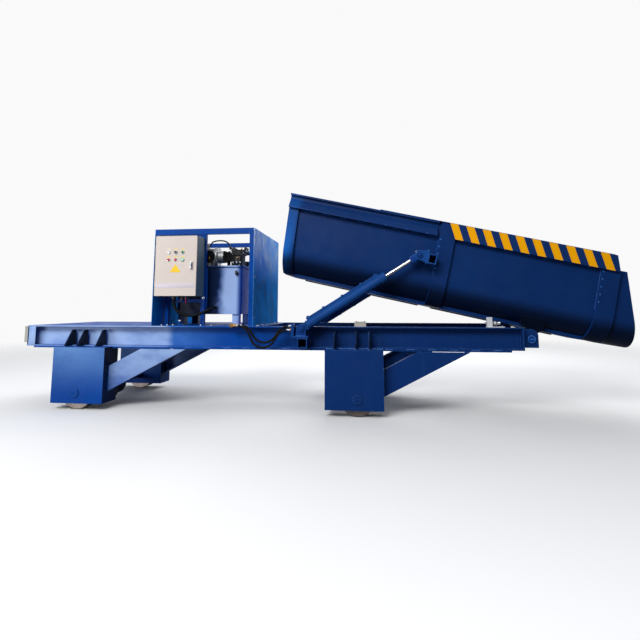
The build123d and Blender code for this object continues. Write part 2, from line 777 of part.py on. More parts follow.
def flexible_line(label, points, radius):
    """A round tube along straight runs and tangent arcs."""
    radii = bend_radii(points)
    with BuildPart() as line:
        with BuildLine() as route:
            FilletPolyline(*points, radius=radii)
        start = Vector(*points[0])
        heading = Vector(*points[1]) - start
        with BuildSketch(Plane(origin=start, z_dir=heading)):
            Circle(radius)
        sweep(path=route.wires()[0])
    finish(line, label)
    length = route.wires()[0].length
    volume_ratio = line.part.volume / (math.pi * radius ** 2 * length)
    print(label, "length", round(length), "least radius", round(min(radii)), "volume ratio",
          round(volume_ratio, 3), "radii", [round(value) for value in radii])


hose_outer_points = [frame_point(*point) for point in (
    (2150, -604, 789), (2190, -604, 789), (2231, -607, 774), (2266, -610, 744), (2290, -613, 700),
    (2311, -616, 650), (2341, -619, 615), (2381, -622, 594), (2427, -626, 588), (2472, -629, 599),
    (2509, -632, 626), (2538, -635, 664), (2563, -638, 708), (2597, -641, 738), (2639, -644, 753),
    (2679, -644, 753))]
hose_inner_points = [frame_point(*point) for point in (
    (2171, -576, 790), (2215, -576, 790), (2256, -580, 774), (2290, -583, 743), (2313, -586, 699),
    (2344, -590, 662), (2384, -594, 639), (2429, -597, 632), (2474, -600, 641), (2513, -604, 667),
    (2542, -608, 704), (2567, -611, 743), (2603, -614, 772), (2644, -618, 786), (2687, -618, 786))]
flexible_line("hose_outer", hose_outer_points, hose_radius)
flexible_line("hose_inner", hose_inner_points, hose_radius)

conduit_points = [frame_point(*point) for point in (
    (1460, gland_y, gland_bottom), (1460, gland_y, 998), (1478, -443, 948), (1517, -447, 908),
    (1570, -449, 884), (1630, -447, 876), (1690, -440, 881), (1742, -423, 900), (1785, -396, 924),
    (1815, -361, 945), (gland_station, -318, 955), (gland_station, -tank_front - 16, 955))]
flexible_line("cable_conduit", conduit_points, conduit_radius)

# ---- Fittings at both ends of the hoses ----
with BuildPart() as hose_fittings:
    # bulkhead plates and nipples at the beam's edge
    for (plate_start, plate_end, reach), first in (((2100, 2132, 618), hose_outer_points[0]),
                                                   ((2142, 2165, 590), hose_inner_points[0])):
        centre_box((x_at(plate_start), x_at(plate_end)), (-reach, -frame_half_width), (774, 804))
        with BuildSketch(Plane((x_at(plate_end), first[1], first[2]), x_dir=(0, 1, 0), z_dir=(1, 0, 0))):
            RegularPolygon(13, 6)
        extrude(amount=first[0] - x_at(plate_end))
    # unions on the block behind the near clevis
    for end in (hose_outer_points[-1], hose_inner_points[-1]):
        with BuildSketch(Plane(end, x_dir=(0, 1, 0), z_dir=(1, 0, 0))):
            RegularPolygon(13, 6)
        extrude(amount=x_at(2695) - end[0])
finish(hose_fittings, "hose_fittings")

# ---- Trough shell: a flat-sided U, its rear end leaning back ----
# the slanting ends of the hazard rails, top and foot, along the trough
hazard_top = (-893, 553)
hazard_foot = (-824, 597)
inner_half = trough_half_width - trough_wall
inner_bottom = trough_bottom + trough_wall
inner_corner = trough_corner - trough_wall
rear_anchor = (trough_top + trough_bottom) / 2
rear_origin = pivot + along_trough * trough_rear + across_trough * rear_anchor
rear_face = Plane(origin=rear_origin, x_dir=(0, 1, 0), z_dir=trough_section(0, -rear_lean).z_dir)
overrun = 120                 # extra length cut off by the leaning rear face

with BuildPart() as trough_shell:
    with BuildSketch(trough_section(trough_rear - overrun)):
        u_face(trough_half_width, trough_bottom, trough_top, trough_corner)
        u_face(inner_half, inner_bottom, trough_top + 1, inner_corner, mode=Mode.SUBTRACT)
    extrude(amount=trough_front - trough_rear + overrun)
    split(bisect_by=rear_face, keep=Keep.TOP)
    # the front top corners follow the slant of the hazard rails
    with BuildSketch(trough_side(1, -trough_half_width, trough_half_width)):
        polygon([(hazard_top[1], trough_top + 1), (hazard_foot[1], rail_bottom),
                 (trough_front + 1, rail_bottom), (trough_front + 1, trough_top + 1)])
    extrude(amount=2 * trough_half_width, mode=Mode.SUBTRACT)
finish(trough_shell, "trough_shell")

with BuildPart() as trough_rear_wall:
    with BuildSketch(trough_section(trough_rear - overrun)):
        u_face(inner_half, inner_bottom, trough_top - 20, inner_corner)
    extrude(amount=2 * overrun)
    split(bisect_by=rear_face, keep=Keep.TOP)
    split(bisect_by=rear_face.offset(trough_wall), keep=Keep.BOTTOM)
finish(trough_rear_wall, "trough_rear_wall")

# ---- Nose: a slightly narrower U with a slanting mouth ----
nose_lap = 60                 # length held inside the shell
nose_top = 755
nose_foot = 866
nose_shoulder = 679
with BuildPart() as trough_nose:
    with BuildSketch(trough_section(trough_front - nose_lap)):
        u_face(inner_half, inner_bottom, nose_top, inner_corner)
        u_face(inner_half - trough_wall, inner_bottom + trough_wall, nose_top + 1,
               inner_corner - trough_wall, mode=Mode.SUBTRACT)
    extrude(amount=nose_foot - trough_front + nose_lap)
    with BuildSketch(trough_side(1, -trough_half_width, trough_half_width)):
        polygon([(nose_shoulder, nose_top + 2), (nose_foot + 2, inner_bottom),
                 (nose_foot + 60, inner_bottom), (nose_foot + 60, nose_top + 2)])
    extrude(amount=2 * trough_half_width, mode=Mode.SUBTRACT)
finish(trough_nose, "trough_nose")

# ---- Ribs wrapped round the U ----
mid_rib = (-957, -818)
front_rib = (460, 613)
rear_rib_width = 96
rib_half = trough_half_width + rib_proud
rib_bottom = trough_bottom - 20
rib_corner = trough_corner + 22
rib_foot = 400                # the ribs stop this far from the middle
with BuildPart() as trough_ribs:
    for (start, end), top in ((mid_rib, trough_top), (front_rib, rail_bottom)):
        with BuildSketch(trough_section(start)):
            u_face(rib_half, rib_bottom, top, rib_corner)
        extrude(amount=end - start)
    with BuildSketch(rear_face):
        u_face(rib_half, rib_bottom - rear_anchor, rail_bottom - rear_anchor, rib_corner)
    extrude(amount=rear_rib_width)
    with BuildSketch(trough_section(trough_rear - overrun)):
        with Locations((0, rail_bottom + 50)):
            Rectangle(2 * rib_half + 2, 100)
    extrude(amount=2 * overrun, mode=Mode.SUBTRACT)
    # the inside of each rib, and its middle under the flat bottom
    with BuildSketch(trough_section(trough_rear - overrun)):
        u_face(trough_half_width, trough_bottom, trough_top + 1, trough_corner)
        with Locations((0, trough_bottom)):
            Rectangle(2 * rib_foot, trough_corner)
    extrude(amount=trough_front - trough_rear + 2 * overrun, mode=Mode.SUBTRACT)
finish(trough_ribs, "trough_ribs")

# ---- Top rails of the rear part and runners under the bottom corners ----
rear_rail_end = -985
runner = ((330, 92), (392, 92), (392, 150), (424, 172), (424, 240), (330, 240))
runner_spans = ((trough_rear + rear_rib_width + 42, mid_rib[0]), (mid_rib[1], front_rib[0]))
# the rear rails: a ledge, a face leaning in, and a lip along the top
rail_outline = ((trough_half_width, rail_bottom), (592, rail_bottom), (592, 742), (541, 822), (541, 856),
                (570, 856), (570, trough_top), (trough_half_width, trough_top))
rail_hollow = ((537, rail_bottom + 8), (582, rail_bottom + 8), (537, 812))
with BuildPart() as trough_rails:
    for side_name, side in SIDES:
        with BuildSketch(trough_section(trough_rear - overrun)):
            polygon([(side * y, w) for y, w in rail_outline])
            polygon([(side * y, w) for y, w in rail_hollow], mode=Mode.SUBTRACT)
        extrude(amount=rear_rail_end - trough_rear + overrun)
    split(bisect_by=rear_face, keep=Keep.TOP)
    for side_name, side in SIDES:
        for start, end in runner_spans:
            with BuildSketch(trough_section(start)):
                polygon([(side * y, w) for y, w in runner])
            extrude(amount=end - start)
    with BuildSketch(trough_section(trough_rear - overrun)):
        u_face(trough_half_width, trough_bottom, trough_top + 1, trough_corner)
    extrude(amount=trough_front - trough_rear + 2 * overrun, mode=Mode.SUBTRACT)
finish(trough_rails, "trough_rails")

# ---- Hazard rails: deep boxed rails with slanting ends ----
with BuildPart() as hazard_rails:
    for side_name, side in SIDES:
        with BuildSketch(trough_side(side, trough_half_width, rail_half_width)):
            polygon([(hazard_top[0], trough_top), (hazard_foot[0], rail_bottom),
                     (hazard_foot[1], rail_bottom), (hazard_top[1], trough_top)])
        extrude(amount=rail_half_width - trough_half_width)
        with BuildSketch(trough_side(side, trough_half_width, rail_half_width - 8)):
            polygon([(mid_rib[1], trough_top - 8), (mid_rib[1], rail_bottom + 8),
                     (hazard_foot[1] - 60, rail_bottom + 8), (hazard_top[1] - 60, trough_top - 8)])
        extrude(amount=rail_half_width - 8 - trough_half_width, mode=Mode.SUBTRACT)
        with BuildSketch(trough_side(side, trough_half_width, rib_half)):
            polygon([(mid_rib[0] - 1, trough_top + 1), (mid_rib[0] - 1, rail_bottom - 1),
                     (mid_rib[1], rail_bottom - 1), (mid_rib[1], trough_top + 1)])
        extrude(amount=rib_proud, mode=Mode.SUBTRACT)
finish(hazard_rails, "hazard_rails")

# ---- Hinge arms under the trough ----
arm = (440, 480)
arm_boss = 46
with BuildPart() as hinge_arms:
    for side_name, side in SIDES:
        with BuildSketch(trough_side(side, *arm)):
            polygon([(-48, 0), (-60, 108), (-110, 108), (-110, 230), (100, 230), (100, 108), (48, 60),
                     (arm_boss, 0)])
            Circle(arm_boss)
            Circle(pivot_hole, mode=Mode.SUBTRACT)
        extrude(amount=arm[1] - arm[0])
    with BuildSketch(trough_section(-120)):
        u_face(trough_half_width, trough_bottom, trough_top, trough_corner)
    extrude(amount=240, mode=Mode.SUBTRACT)
finish(hinge_arms, "hinge_arms")

# ---- Rod brackets: a square tube, a face plate and two lugs on each side ----
bracket_tube = (-1029, mid_rib[0])
bracket_middle = 501
bracket_half = 42
face_plate = (-1047, -1029)
face_height = (451, 577)
rod_pin = (-1111.5, 517)
with BuildPart() as rod_brackets:
    for side_name, side in SIDES:
        with BuildSketch(trough_side(side, trough_half_width, tube_reach)):
            with Locations(((bracket_tube[0] + bracket_tube[1]) / 2, bracket_middle)):
                Rectangle(bracket_tube[1] - bracket_tube[0], 2 * bracket_half)
                Rectangle(bracket_tube[1] - bracket_tube[0] - 14, 2 * bracket_half - 14, mode=Mode.SUBTRACT)
        extrude(amount=tube_reach - trough_half_width)
        with BuildSketch(trough_side(side, 565, tube_reach)):
            polygon([(face_plate[0], face_height[0]), (face_plate[1], face_height[0]),
                     (face_plate[1], face_height[1]), (face_plate[0], face_height[1])])
        extrude(amount=tube_reach - 565)
        for direction in (-1, 1):
            near_face, far_face = sorted(cylinder_plane + direction * offset for offset in lug_offsets)
            with BuildSketch(trough_side(side, near_face, far_face)):
                polygon([(face_plate[0], 463), (face_plate[0], 571), (rod_pin[0], rod_pin[1] + 40),
                         (rod_pin[0], rod_pin[1] - 40)])
                with Locations(rod_pin):
                    Circle(40)
                    Circle(pin_hole, mode=Mode.SUBTRACT)
            extrude(amount=lug_thickness)
finish(rod_brackets, "rod_brackets")

# ---- Rod pins: the end stubs held by the trough's lugs ----
with BuildPart() as rod_pins:
    for side_name, side in SIDES:
        for inner, outer, radius in ((602, 616, pin_radius), (664, 678, pin_radius), (678, 690, 26),
                                     (590, 602, 26)):
            with BuildSketch(trough_side(side, inner, outer)):
                with Locations(rod_pin):
                    Circle(radius)
            extrude(amount=outer - inner)
finish(rod_pins, "rod_pins")

# ---- Hydraulic cylinders ----
tube_start = 62
gland_start = 852
gland_radius = 45
pipe_offset = 53
pipe_radius = 8.5
piston_length = 40
piston_back = cylinder_length - rod_reach
port_blocks = ((84, 120), (800, 846))

for side_name, side in SIDES:
    with BuildPart() as barrel:
        with BuildSketch(cylinder_section(side, tube_start)):
            Circle(barrel_radius)
        extrude(amount=gland_start - tube_start)
        with BuildSketch(cylinder_section(side, gland_start)):
            Circle(gland_radius)
        extrude(amount=barrel_length - gland_start)
        with BuildSketch(cylinder_side(side, eye_width / 2)):
            polygon([(0, -30), (tube_start, -36), (tube_start, 36), (0, 30)])
            Circle(eye_radius - 4)
        extrude(amount=eye_width)
        with BuildSketch(cylinder_side(side, eye_width / 2)):
            Circle(pin_hole)
        extrude(amount=eye_width, mode=Mode.SUBTRACT)
        with BuildSketch(cylinder_section(side, tube_start + 14)):
            Circle(bore_radius)
        extrude(amount=gland_start - tube_start - 20, mode=Mode.SUBTRACT)
        with BuildSketch(cylinder_section(side, gland_start - 40)):
            Circle(rod_radius + running_clearance)
        extrude(amount=barrel_length - gland_start + 41, mode=Mode.SUBTRACT)
        with BuildSketch(cylinder_section(side, port_blocks[0][0], pipe_offset)):
            Circle(pipe_radius)
        extrude(amount=port_blocks[1][1] - port_blocks[0][0])
        for start, end in port_blocks:
            with BuildSketch(cylinder_section(side, start, pipe_offset)):
                with Locations((0, -6)):
                    Rectangle(30, 28)
            extrude(amount=end - start)
    finish(barrel, f"cylinder_barrel_{side_name}")

    with BuildPart() as rod:
        with BuildSketch(cylinder_section(side, piston_back)):
            Circle(bore_radius - running_clearance)
        extrude(amount=piston_length)
        with BuildSketch(cylinder_section(side, piston_back)):
            Circle(rod_radius)
        extrude(amount=rod_reach - eye_radius + 10)
        with BuildSketch(cylinder_side(side, eye_width / 2)):
            with Locations((cylinder_length, 0)):
                Circle(eye_radius)
            polygon([(cylinder_length - 74, -24), (cylinder_length, -34), (cylinder_length, 34),
                     (cylinder_length - 74, 24)])
        extrude(amount=eye_width)
    finish(rod, f"piston_rod_{side_name}")
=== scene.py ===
import math
import random

import bmesh
import bpy
from mathutils import Matrix, Vector


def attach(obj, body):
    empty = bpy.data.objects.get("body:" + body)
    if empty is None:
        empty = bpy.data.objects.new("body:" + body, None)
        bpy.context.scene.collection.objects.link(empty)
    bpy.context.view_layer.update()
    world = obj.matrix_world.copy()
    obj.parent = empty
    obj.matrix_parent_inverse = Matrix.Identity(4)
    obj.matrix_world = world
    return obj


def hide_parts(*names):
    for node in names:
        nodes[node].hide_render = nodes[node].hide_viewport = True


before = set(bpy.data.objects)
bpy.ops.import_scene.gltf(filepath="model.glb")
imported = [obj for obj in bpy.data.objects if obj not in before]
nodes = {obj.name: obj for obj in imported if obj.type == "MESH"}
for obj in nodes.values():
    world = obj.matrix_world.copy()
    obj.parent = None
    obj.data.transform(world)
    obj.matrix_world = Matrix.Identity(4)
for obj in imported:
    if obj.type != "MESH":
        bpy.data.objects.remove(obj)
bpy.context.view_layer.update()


# ---- Places on the car, in metres; stations run forward from the rear end of the side beams ----
MID_STATION = 2.8303
TILT = math.radians(12.6)
CYLINDER_ANGLE = math.radians(31.68)
SIDES = (("near", -1), ("far", 1))
FORWARD = Vector((1, 0, 0))
ACROSS = Vector((0, 1, 0))
NEAR = Vector((0, -1, 0))
UP = Vector((0, 0, 1))


def at(station, y=0.0, z=0.0):
    """A point given by its station."""
    return Vector((station - MID_STATION, y, z))


DECK_WELD = 0.7815
PIVOT = at(4.826, 0, 0.677)
ALONG = Vector((math.cos(TILT), 0, -math.sin(TILT)))
ABOVE = Vector((math.sin(TILT), 0, math.cos(TILT)))
ROD_WAY = Vector((math.cos(CYLINDER_ANGLE), 0, math.sin(CYLINDER_ANGLE)))
ROD_RISE = Vector((-math.sin(CYLINDER_ANGLE), 0, math.cos(CYLINDER_ANGLE)))


def trough_point(along, y, above):
    """A point by its distances from the tipping axis, along and square to the trough."""
    return PIVOT + ALONG * along + ABOVE * above + Vector((0, y, 0))


def cylinder_point(side, along, across=0.0, rise=0.0):
    """A point by its distance from a cylinder's base pin."""
    return at(2.786, side * 0.640 + across, 0.765) + ROD_WAY * along + ROD_RISE * rise


# ---- Camera ----
def make_camera():
    data = bpy.data.cameras.new("camera")
    data.sensor_width = 36.0
    data.lens = 25.23
    data.shift_x = -0.0086
    data.shift_y = -0.103
    camera = bpy.data.objects.new("camera", data)
    camera.location = (0.6549, -4.726, 0.963)
    camera.rotation_euler = (math.pi / 2 + 0.117, 0, 0.117)
    bpy.context.scene.collection.objects.link(camera)
    bpy.context.scene.camera = camera


make_camera()


# ---- Node graph helpers ----
class Graph:
    """A material's node graph, with one method for each kind of node used here."""

    def __init__(self, name):
        self.material = bpy.data.materials.new(name)
        self.material.use_nodes = True
        self.tree = self.material.node_tree
        self.tree.nodes.clear()
        self.output = self.new("ShaderNodeOutputMaterial")
        self.shader = self.new("ShaderNodeBsdfPrincipled")
        self.tree.links.new(self.shader.outputs[0], self.output.inputs["Surface"])

    def new(self, kind):
        return self.tree.nodes.new(kind)

    def link(self, value, socket):
        """Sets a socket to a number or colour, or joins an output to it."""
        if isinstance(value, bpy.types.NodeSocket):
            self.tree.links.new(value, socket)
        else:
            socket.default_value = value

    def set(self, **values):
        """Sets the shader's inputs; underscores stand for spaces."""
        for name, value in values.items():
            self.link(value, self.shader.inputs[name.replace("_", " ")])

    def place(self):
        """Coordinates in the row frame at rest."""
        return self.new("ShaderNodeTexCoord").outputs["Object"]

    def normal(self):
        return self.new("ShaderNodeNewGeometry").outputs["Normal"]

    def math(self, operation, a, b=0.0, c=0.0):
        node = self.new("ShaderNodeMath")
        node.operation = operation
        for value, socket in zip((a, b, c), node.inputs):
            self.link(value, socket)
        return node.outputs[0]

    def times(self, *values):
        """The product of two or more values."""
        product = values[0]
        for value in values[1:]:
            product = self.math("MULTIPLY", product, value)
        return product

    def vector(self, operation, a, b, result=0):
        node = self.new("ShaderNodeVectorMath")
        node.operation = operation
        self.link(a, node.inputs[0])
        self.link(b, node.inputs[1])
        return node.outputs[result]

    def axis(self, vector, index):
        node = self.new("ShaderNodeSeparateXYZ")
        self.link(vector, node.inputs[0])
        return node.outputs[index]

    def stretch(self, vector, scale):
        return self.vector("MULTIPLY", vector, scale)

    def noise(self, vector, scale, detail=3.0, roughness=0.55):
        node = self.new("ShaderNodeTexNoise")
        self.link(vector, node.inputs["Vector"])
        node.inputs["Scale"].default_value = scale
        node.inputs["Detail"].default_value = detail
        node.inputs["Roughness"].default_value = roughness
        return node.outputs["Fac"]

    def ramp(self, value, low, high, to_low=0.0, to_high=1.0):
        node = self.new("ShaderNodeMapRange")
        node.interpolation_type = "SMOOTHSTEP"
        for name, number in (("Value", value), ("From Min", low), ("From Max", high),
                             ("To Min", to_low), ("To Max", to_high)):
            self.link(number, node.inputs[name])
        return node.outputs[0]

    def mix(self, factor, a, b):
        node = self.new("ShaderNodeMix")
        node.data_type = "RGBA"
        self.link(factor, node.inputs["Factor"])
        self.link(a, node.inputs["A"])
        self.link(b, node.inputs["B"])
        return node.outputs["Result"]

    def edges(self, radius):
        """1 on the object's edges, 0 on its flat faces."""
        node = self.new("ShaderNodeBevel")
        node.samples = 4
        node.inputs["Radius"].default_value = radius
        flatness = self.vector("DOT_PRODUCT", node.outputs[0], self.normal(), 1)
        return self.ramp(self.math("SUBTRACT", 1.0, flatness), 0.01, 0.2)

    def bump(self, height, distance, radius=0.0):
        """Raises the surface, with its sharp edges eased by a radius."""
        node = self.new("ShaderNodeBump")
        node.inputs["Strength"].default_value = 1.0
        node.inputs["Distance"].default_value = distance
        self.link(height, node.inputs["Height"])
        if radius:
            bevel = self.new("ShaderNodeBevel")
            bevel.samples = 4
            bevel.inputs["Radius"].default_value = radius
            self.link(bevel.outputs[0], node.inputs["Normal"])
        self.set(Normal=node.outputs[0])


def rgb(red, green, blue):
    """A colour from 0 to 255 sRGB values."""
    def linear(value):
        value /= 255
        return value / 12.92 if value <= 0.04045 else ((value + 0.055) / 1.055) ** 2.4
    return (linear(red), linear(green), linear(blue), 1.0)


def tone(g, p, rear, front, start, end):
    """A colour that turns from one to the other along the car."""
    return g.mix(g.ramp(g.axis(p, 0), start, end), rear, front)


def painted_glare(g, p, spans, colour, strength, scale=2.2):
    """A painted reflection: a pale cloudy glare on the faces that look sideways, inside soft limits along X
    and up Z.
    """
    (x_none, x_full), (z_none, z_full) = spans
    cover = g.times(g.ramp(g.axis(p, 0), x_none, x_full), g.ramp(g.axis(p, 2), z_none, z_full))
    cloud = g.ramp(g.noise(g.stretch(p, (1.0, 1.0, 2.4)), scale, 5.0, 0.62), 0.3, 0.62, 0.55, 1.0)
    sideways = g.ramp(g.math("ABSOLUTE", g.axis(g.normal(), 1)), 0.5, 0.8)
    return g.times(g.times(cover, cloud), g.times(sideways, strength)), colour


def paint_layers(g, base, deep, edge, ground=None):
    """Enamel: slow cloudiness, rain streaks, bright edges that are a painted highlight broken up like chipped
    wear, and a paler blue on level faces that is part dust, part painted light from above.
    """
    p = g.place()
    cloud = g.ramp(g.noise(p, 1.7, 4.0), 0.35, 0.7)
    colour = g.mix(g.times(cloud, 0.35), base(g, p) if callable(base) else base, deep)
    mottle = g.ramp(g.noise(p, 26.0, 5.0, 0.65), 0.42, 0.78)
    colour = g.mix(g.times(mottle, 0.22), colour, deep)
    streak = g.ramp(g.noise(g.stretch(p, (24.0, 24.0, 1.6)), 1.0, 3.0), 0.52, 0.8)
    colour = g.mix(g.times(streak, 0.05), colour, edge)
    if ground is not None:
        colour = ground(g, colour, p)
    # painted highlight on the edges, broken up by noise like chipped wear
    rim = g.edges(0.005)
    edge_highlight_and_wear = g.times(rim, g.ramp(g.noise(p, 55.0, 4.0), 0.3, 0.62))
    colour = g.mix(g.times(edge_highlight_and_wear, 0.75), colour, edge)
    # level faces turn a paler blue: part dust, part painted light from above
    level = g.ramp(g.axis(g.normal(), 2), 0.75, 1.0)
    dust_and_top_light = g.times(level, g.ramp(g.noise(p, 9.0, 6.0), 0.35, 0.8))
    return g.mix(g.times(dust_and_top_light, 0.3), colour, rgb(92, 126, 186)), p, dust_and_top_light


def enamel(name, base, deep, edge, roughness=0.34, ground=None, coat=0.03, specular=0.1, metallic=0.0):
    """Glossy paint on steel."""
    g = Graph(name)
    colour, p, dust_and_top_light = paint_layers(g, base, deep, edge, ground)
    smudge = g.noise(p, 6.0, 5.0, 0.6)
    rough = g.math("ADD", g.ramp(smudge, 0.3, 0.75, roughness - 0.07, roughness + 0.14),
                   g.times(dust_and_top_light, 0.3))
    g.set(Base_Color=colour, Roughness=rough, Specular_IOR_Level=specular, Coat_Weight=coat,
          Coat_Roughness=0.12, Metallic=metallic(g, p) if callable(metallic) else metallic)
    peel = g.math("ADD", g.times(g.noise(p, 240.0, 2.0), 0.25), g.noise(p, 14.0, 3.0))
    g.bump(peel, 0.0007, 0.0035)
    return g.material


def metal(name, base, dark, roughness=0.35, metallic=1.0, grain=(1.0, 1.0, 1.0), scale=60.0, depth=0.0002):
    """Bare metal with directional grain and darker patches."""
    g = Graph(name)
    p = g.place()
    fine = g.noise(g.stretch(p, grain), scale, 4.0, 0.6)
    patch = g.ramp(g.noise(p, 12.0, 4.0), 0.35, 0.75)
    colour = g.mix(g.times(patch, 0.5), base, dark)
    colour = g.mix(g.times(g.ramp(fine, 0.45, 0.8), 0.35), colour, dark)
    rough = g.ramp(fine, 0.3, 0.75, roughness - 0.1, roughness + 0.12)
    g.set(Base_Color=colour, Metallic=metallic, Roughness=rough)
    g.bump(fine, depth, 0.0015)
    return g.material


def plastic(name, base, shade, roughness=0.4, scale=300.0, depth=0.0002, specular=0.5):
    """Moulded plastic or rubber with a fine texture and faint handling marks."""
    g = Graph(name)
    p = g.place()
    marks = g.ramp(g.noise(p, 18.0, 5.0, 0.65), 0.4, 0.75)
    fine = g.noise(p, scale, 2.0)
    colour = g.mix(g.times(marks, 0.45), base, shade)
    g.set(Base_Color=colour, Roughness=g.ramp(marks, 0.0, 1.0, roughness, roughness + 0.15),
          Specular_IOR_Level=specular)
    g.bump(fine, depth, 0.001)
    return g.material


YELLOW = rgb(255, 178, 2)
STRIPE_START = -0.893
STRIPE_PITCH = 0.1446
STRIPE_WIDTH = 0.073
STRIPE_LEAN = 0.52


def stripe_ground(g, colour, p):
    """Yellow slanted bars with a darker hem, on the faces that look sideways."""
    offset = g.vector("SUBTRACT", p, tuple(PIVOT))
    along = g.vector("DOT_PRODUCT", offset, tuple(ALONG), 1)
    above = g.vector("DOT_PRODUCT", offset, tuple(ABOVE), 1)
    slid = g.math("ADD", along, g.times(g.math("SUBTRACT", above, 0.872), STRIPE_LEAN))
    phase = g.math("WRAP", g.math("SUBTRACT", slid, STRIPE_START), STRIPE_PITCH, 0.0)
    inside = g.math("LESS_THAN", phase, STRIPE_WIDTH)
    sideways = g.math("GREATER_THAN", g.math("ABSOLUTE", g.axis(g.normal(), 1)), 0.7)
    past_last = g.math("LESS_THAN", slid, STRIPE_START + 9 * STRIPE_PITCH + STRIPE_WIDTH + 0.001)
    bar = g.times(inside, sideways, past_last)
    middle = g.math("ABSOLUTE", g.math("SUBTRACT", phase, STRIPE_WIDTH / 2))
    hem = g.math("COMPARE", middle, STRIPE_WIDTH / 2 - 0.009, 0.0016)
    scuff = g.ramp(g.noise(p, 30.0, 5.0, 0.7), 0.55, 0.8)
    yellow = g.mix(g.times(hem, 0.35), YELLOW, rgb(196, 118, 4))
    yellow = g.mix(g.times(scuff, 0.3), yellow, rgb(206, 132, 10))
    return g.mix(bar, colour, yellow)


def hazard_enamel():
    g = Graph("hazard_stripes")
    colour, p, dust_and_top_light = paint_layers(g, *SHADED_BLUE[:3], stripe_ground)
    g.set(Base_Color=colour, Roughness=g.math("ADD", 0.32, g.times(dust_and_top_light, 0.3)),
          Specular_IOR_Level=0.2, Coat_Weight=0.05)
    g.bump(g.noise(p, 14.0, 3.0), 0.0006, 0.003)
    return g.material


# ---- Materials: (base, deeper, edge) for each blue; the edge colour is a painted highlight with wear ----
BRIGHT = rgb(2, 70, 158)
DEEP = rgb(16, 50, 106)
GLARE_PALE = rgb(160, 188, 234)


def along_car(g, p):
    """The chassis blue with painted light and shade: brighter at the rear, deeper at the front."""
    return tone(g, p, BRIGHT, DEEP, -0.75, 0.25)


def beam_ground(g, colour, p):
    # painted reflections: a pale glare on the rear of the beam above its lower flange, and a fainter blue
    # glare ahead of it
    cover, glare_colour = painted_glare(g, p, ((-1.32, -1.42), (0.574, 0.594)), GLARE_PALE, 0.95)
    faint, thin = painted_glare(g, p, ((-0.75, -1.30), (0.574, 0.594)), rgb(60, 120, 204), 0.8)
    return g.mix(cover, g.mix(faint, colour, thin), glare_colour)


def box_ground(g, colour, p):
    # painted reflection: a pale glare on the rear boxes' sideways faces, stronger towards the top
    cover, glare_colour = painted_glare(g, p, ((-1.0, -1.6), (0.10, 0.70)), rgb(110, 158, 216), 0.75, 1.4)
    # painted shade on the faces that look forward, darkest towards the top
    painted_shade = g.times(g.ramp(g.axis(g.normal(), 0), 0.5, 0.8), g.ramp(g.axis(p, 2), 0.05, 0.45, 0.6, 0.9))
    return g.mix(painted_shade, g.mix(cover, colour, glare_colour), rgb(5, 14, 34))


def brace_ground(g, colour, p):
    # painted reflection: a pale glare on the braces' sideways faces towards the rear
    cover, glare_colour = painted_glare(g, p, ((-0.9, -1.2), (-0.05, 0.55)), GLARE_PALE, 0.85, 3.0)
    return g.mix(cover, colour, glare_colour)


def trough_ground(g, colour, p):
    """Painted light as a brighter hoop round the rear end, stronger lower down, and painted shade under the
    curve of the bottom.
    """
    along = g.vector("DOT_PRODUCT", g.vector("SUBTRACT", p, tuple(PIVOT)), tuple(ALONG), 1)
    above = g.vector("DOT_PRODUCT", g.vector("SUBTRACT", p, tuple(PIVOT)), tuple(ABOVE), 1)
    # painted light: the rear end is lighter, more so lower down
    rear_painted_light = g.times(g.ramp(along, -2.25, -2.34), g.ramp(above, 0.80, 0.30, 0.35, 1.0))
    colour = g.mix(g.times(rear_painted_light, 0.8), colour, rgb(22, 104, 196))
    # painted shade on the faces that look down
    under = g.ramp(g.axis(g.normal(), 2), -0.05, -0.55)
    return g.mix(g.times(under, 0.8), colour, rgb(3, 9, 24))


def panel_ground(g, colour, p):
    """A painted reflection of a cloudy sky on the guard's sheets: pale towards the top and the near side,
    none lower down.
    """
    cloud = g.ramp(g.noise(g.stretch(p, (1.0, 1.5, 1.1)), 4.2, 6.0, 0.65), 0.36, 0.66)
    height = g.ramp(g.axis(p, 2), 1.2, 1.72)
    near = g.ramp(g.axis(p, 1), 0.1, -0.5, 0.35, 1.0)
    sky_glare = g.times(height, near, g.ramp(cloud, 0.0, 1.0, 0.45, 1.0))
    # a lighter blue than the paint, mottled by the clouds: partly the sheets' own tone, partly painted light
    # on faces that the lamps barely reach
    colour = g.mix(g.times(cloud, 0.75), rgb(34, 150, 240), rgb(32, 108, 172))
    return g.mix(g.times(sky_glare, 0.95), colour, rgb(206, 226, 248))


def panel_sheen(g, p):
    """A metallic glare on the guard's sheets that fades in towards the top, broken up by clouds."""
    cloud = g.ramp(g.noise(g.stretch(p, (1.0, 1.5, 1.1)), 4.2, 6.0, 0.65), 0.36, 0.66, 0.5, 1.0)
    return g.times(g.ramp(g.axis(p, 2), 1.15, 1.6, 0.08, 0.9), cloud)


def tank_ground(g, colour, p):
    """A painted highlight as a pale patch over the front of the tank, and a painted shadow of the cabinet
    over its rear end.
    """
    wander = g.times(g.math("SUBTRACT", g.noise(p, 3.0, 3.0), 0.5), 0.22)
    along = g.math("ADD", g.axis(p, 0), wander)
    # painted shadow of the cabinet, with a wavering edge
    colour = g.mix(g.ramp(along, -0.92, -1.02), colour, rgb(8, 30, 66))
    # painted highlight over the front
    painted_highlight = g.times(g.ramp(along, -1.0, -0.9), g.ramp(g.axis(p, 0), -0.74, -0.80))
    return g.mix(g.times(painted_highlight, 0.88), colour, rgb(166, 192, 236))


BLUE = (along_car, rgb(8, 50, 120), rgb(72, 124, 196))
# the trough's blue is the chassis paint made darker as painted shade; the welds on the trough match it
SHADED_BLUE = (DEEP, rgb(12, 38, 86), rgb(30, 92, 176))
GLOSS = (BRIGHT, rgb(6, 46, 112), rgb(120, 170, 226))

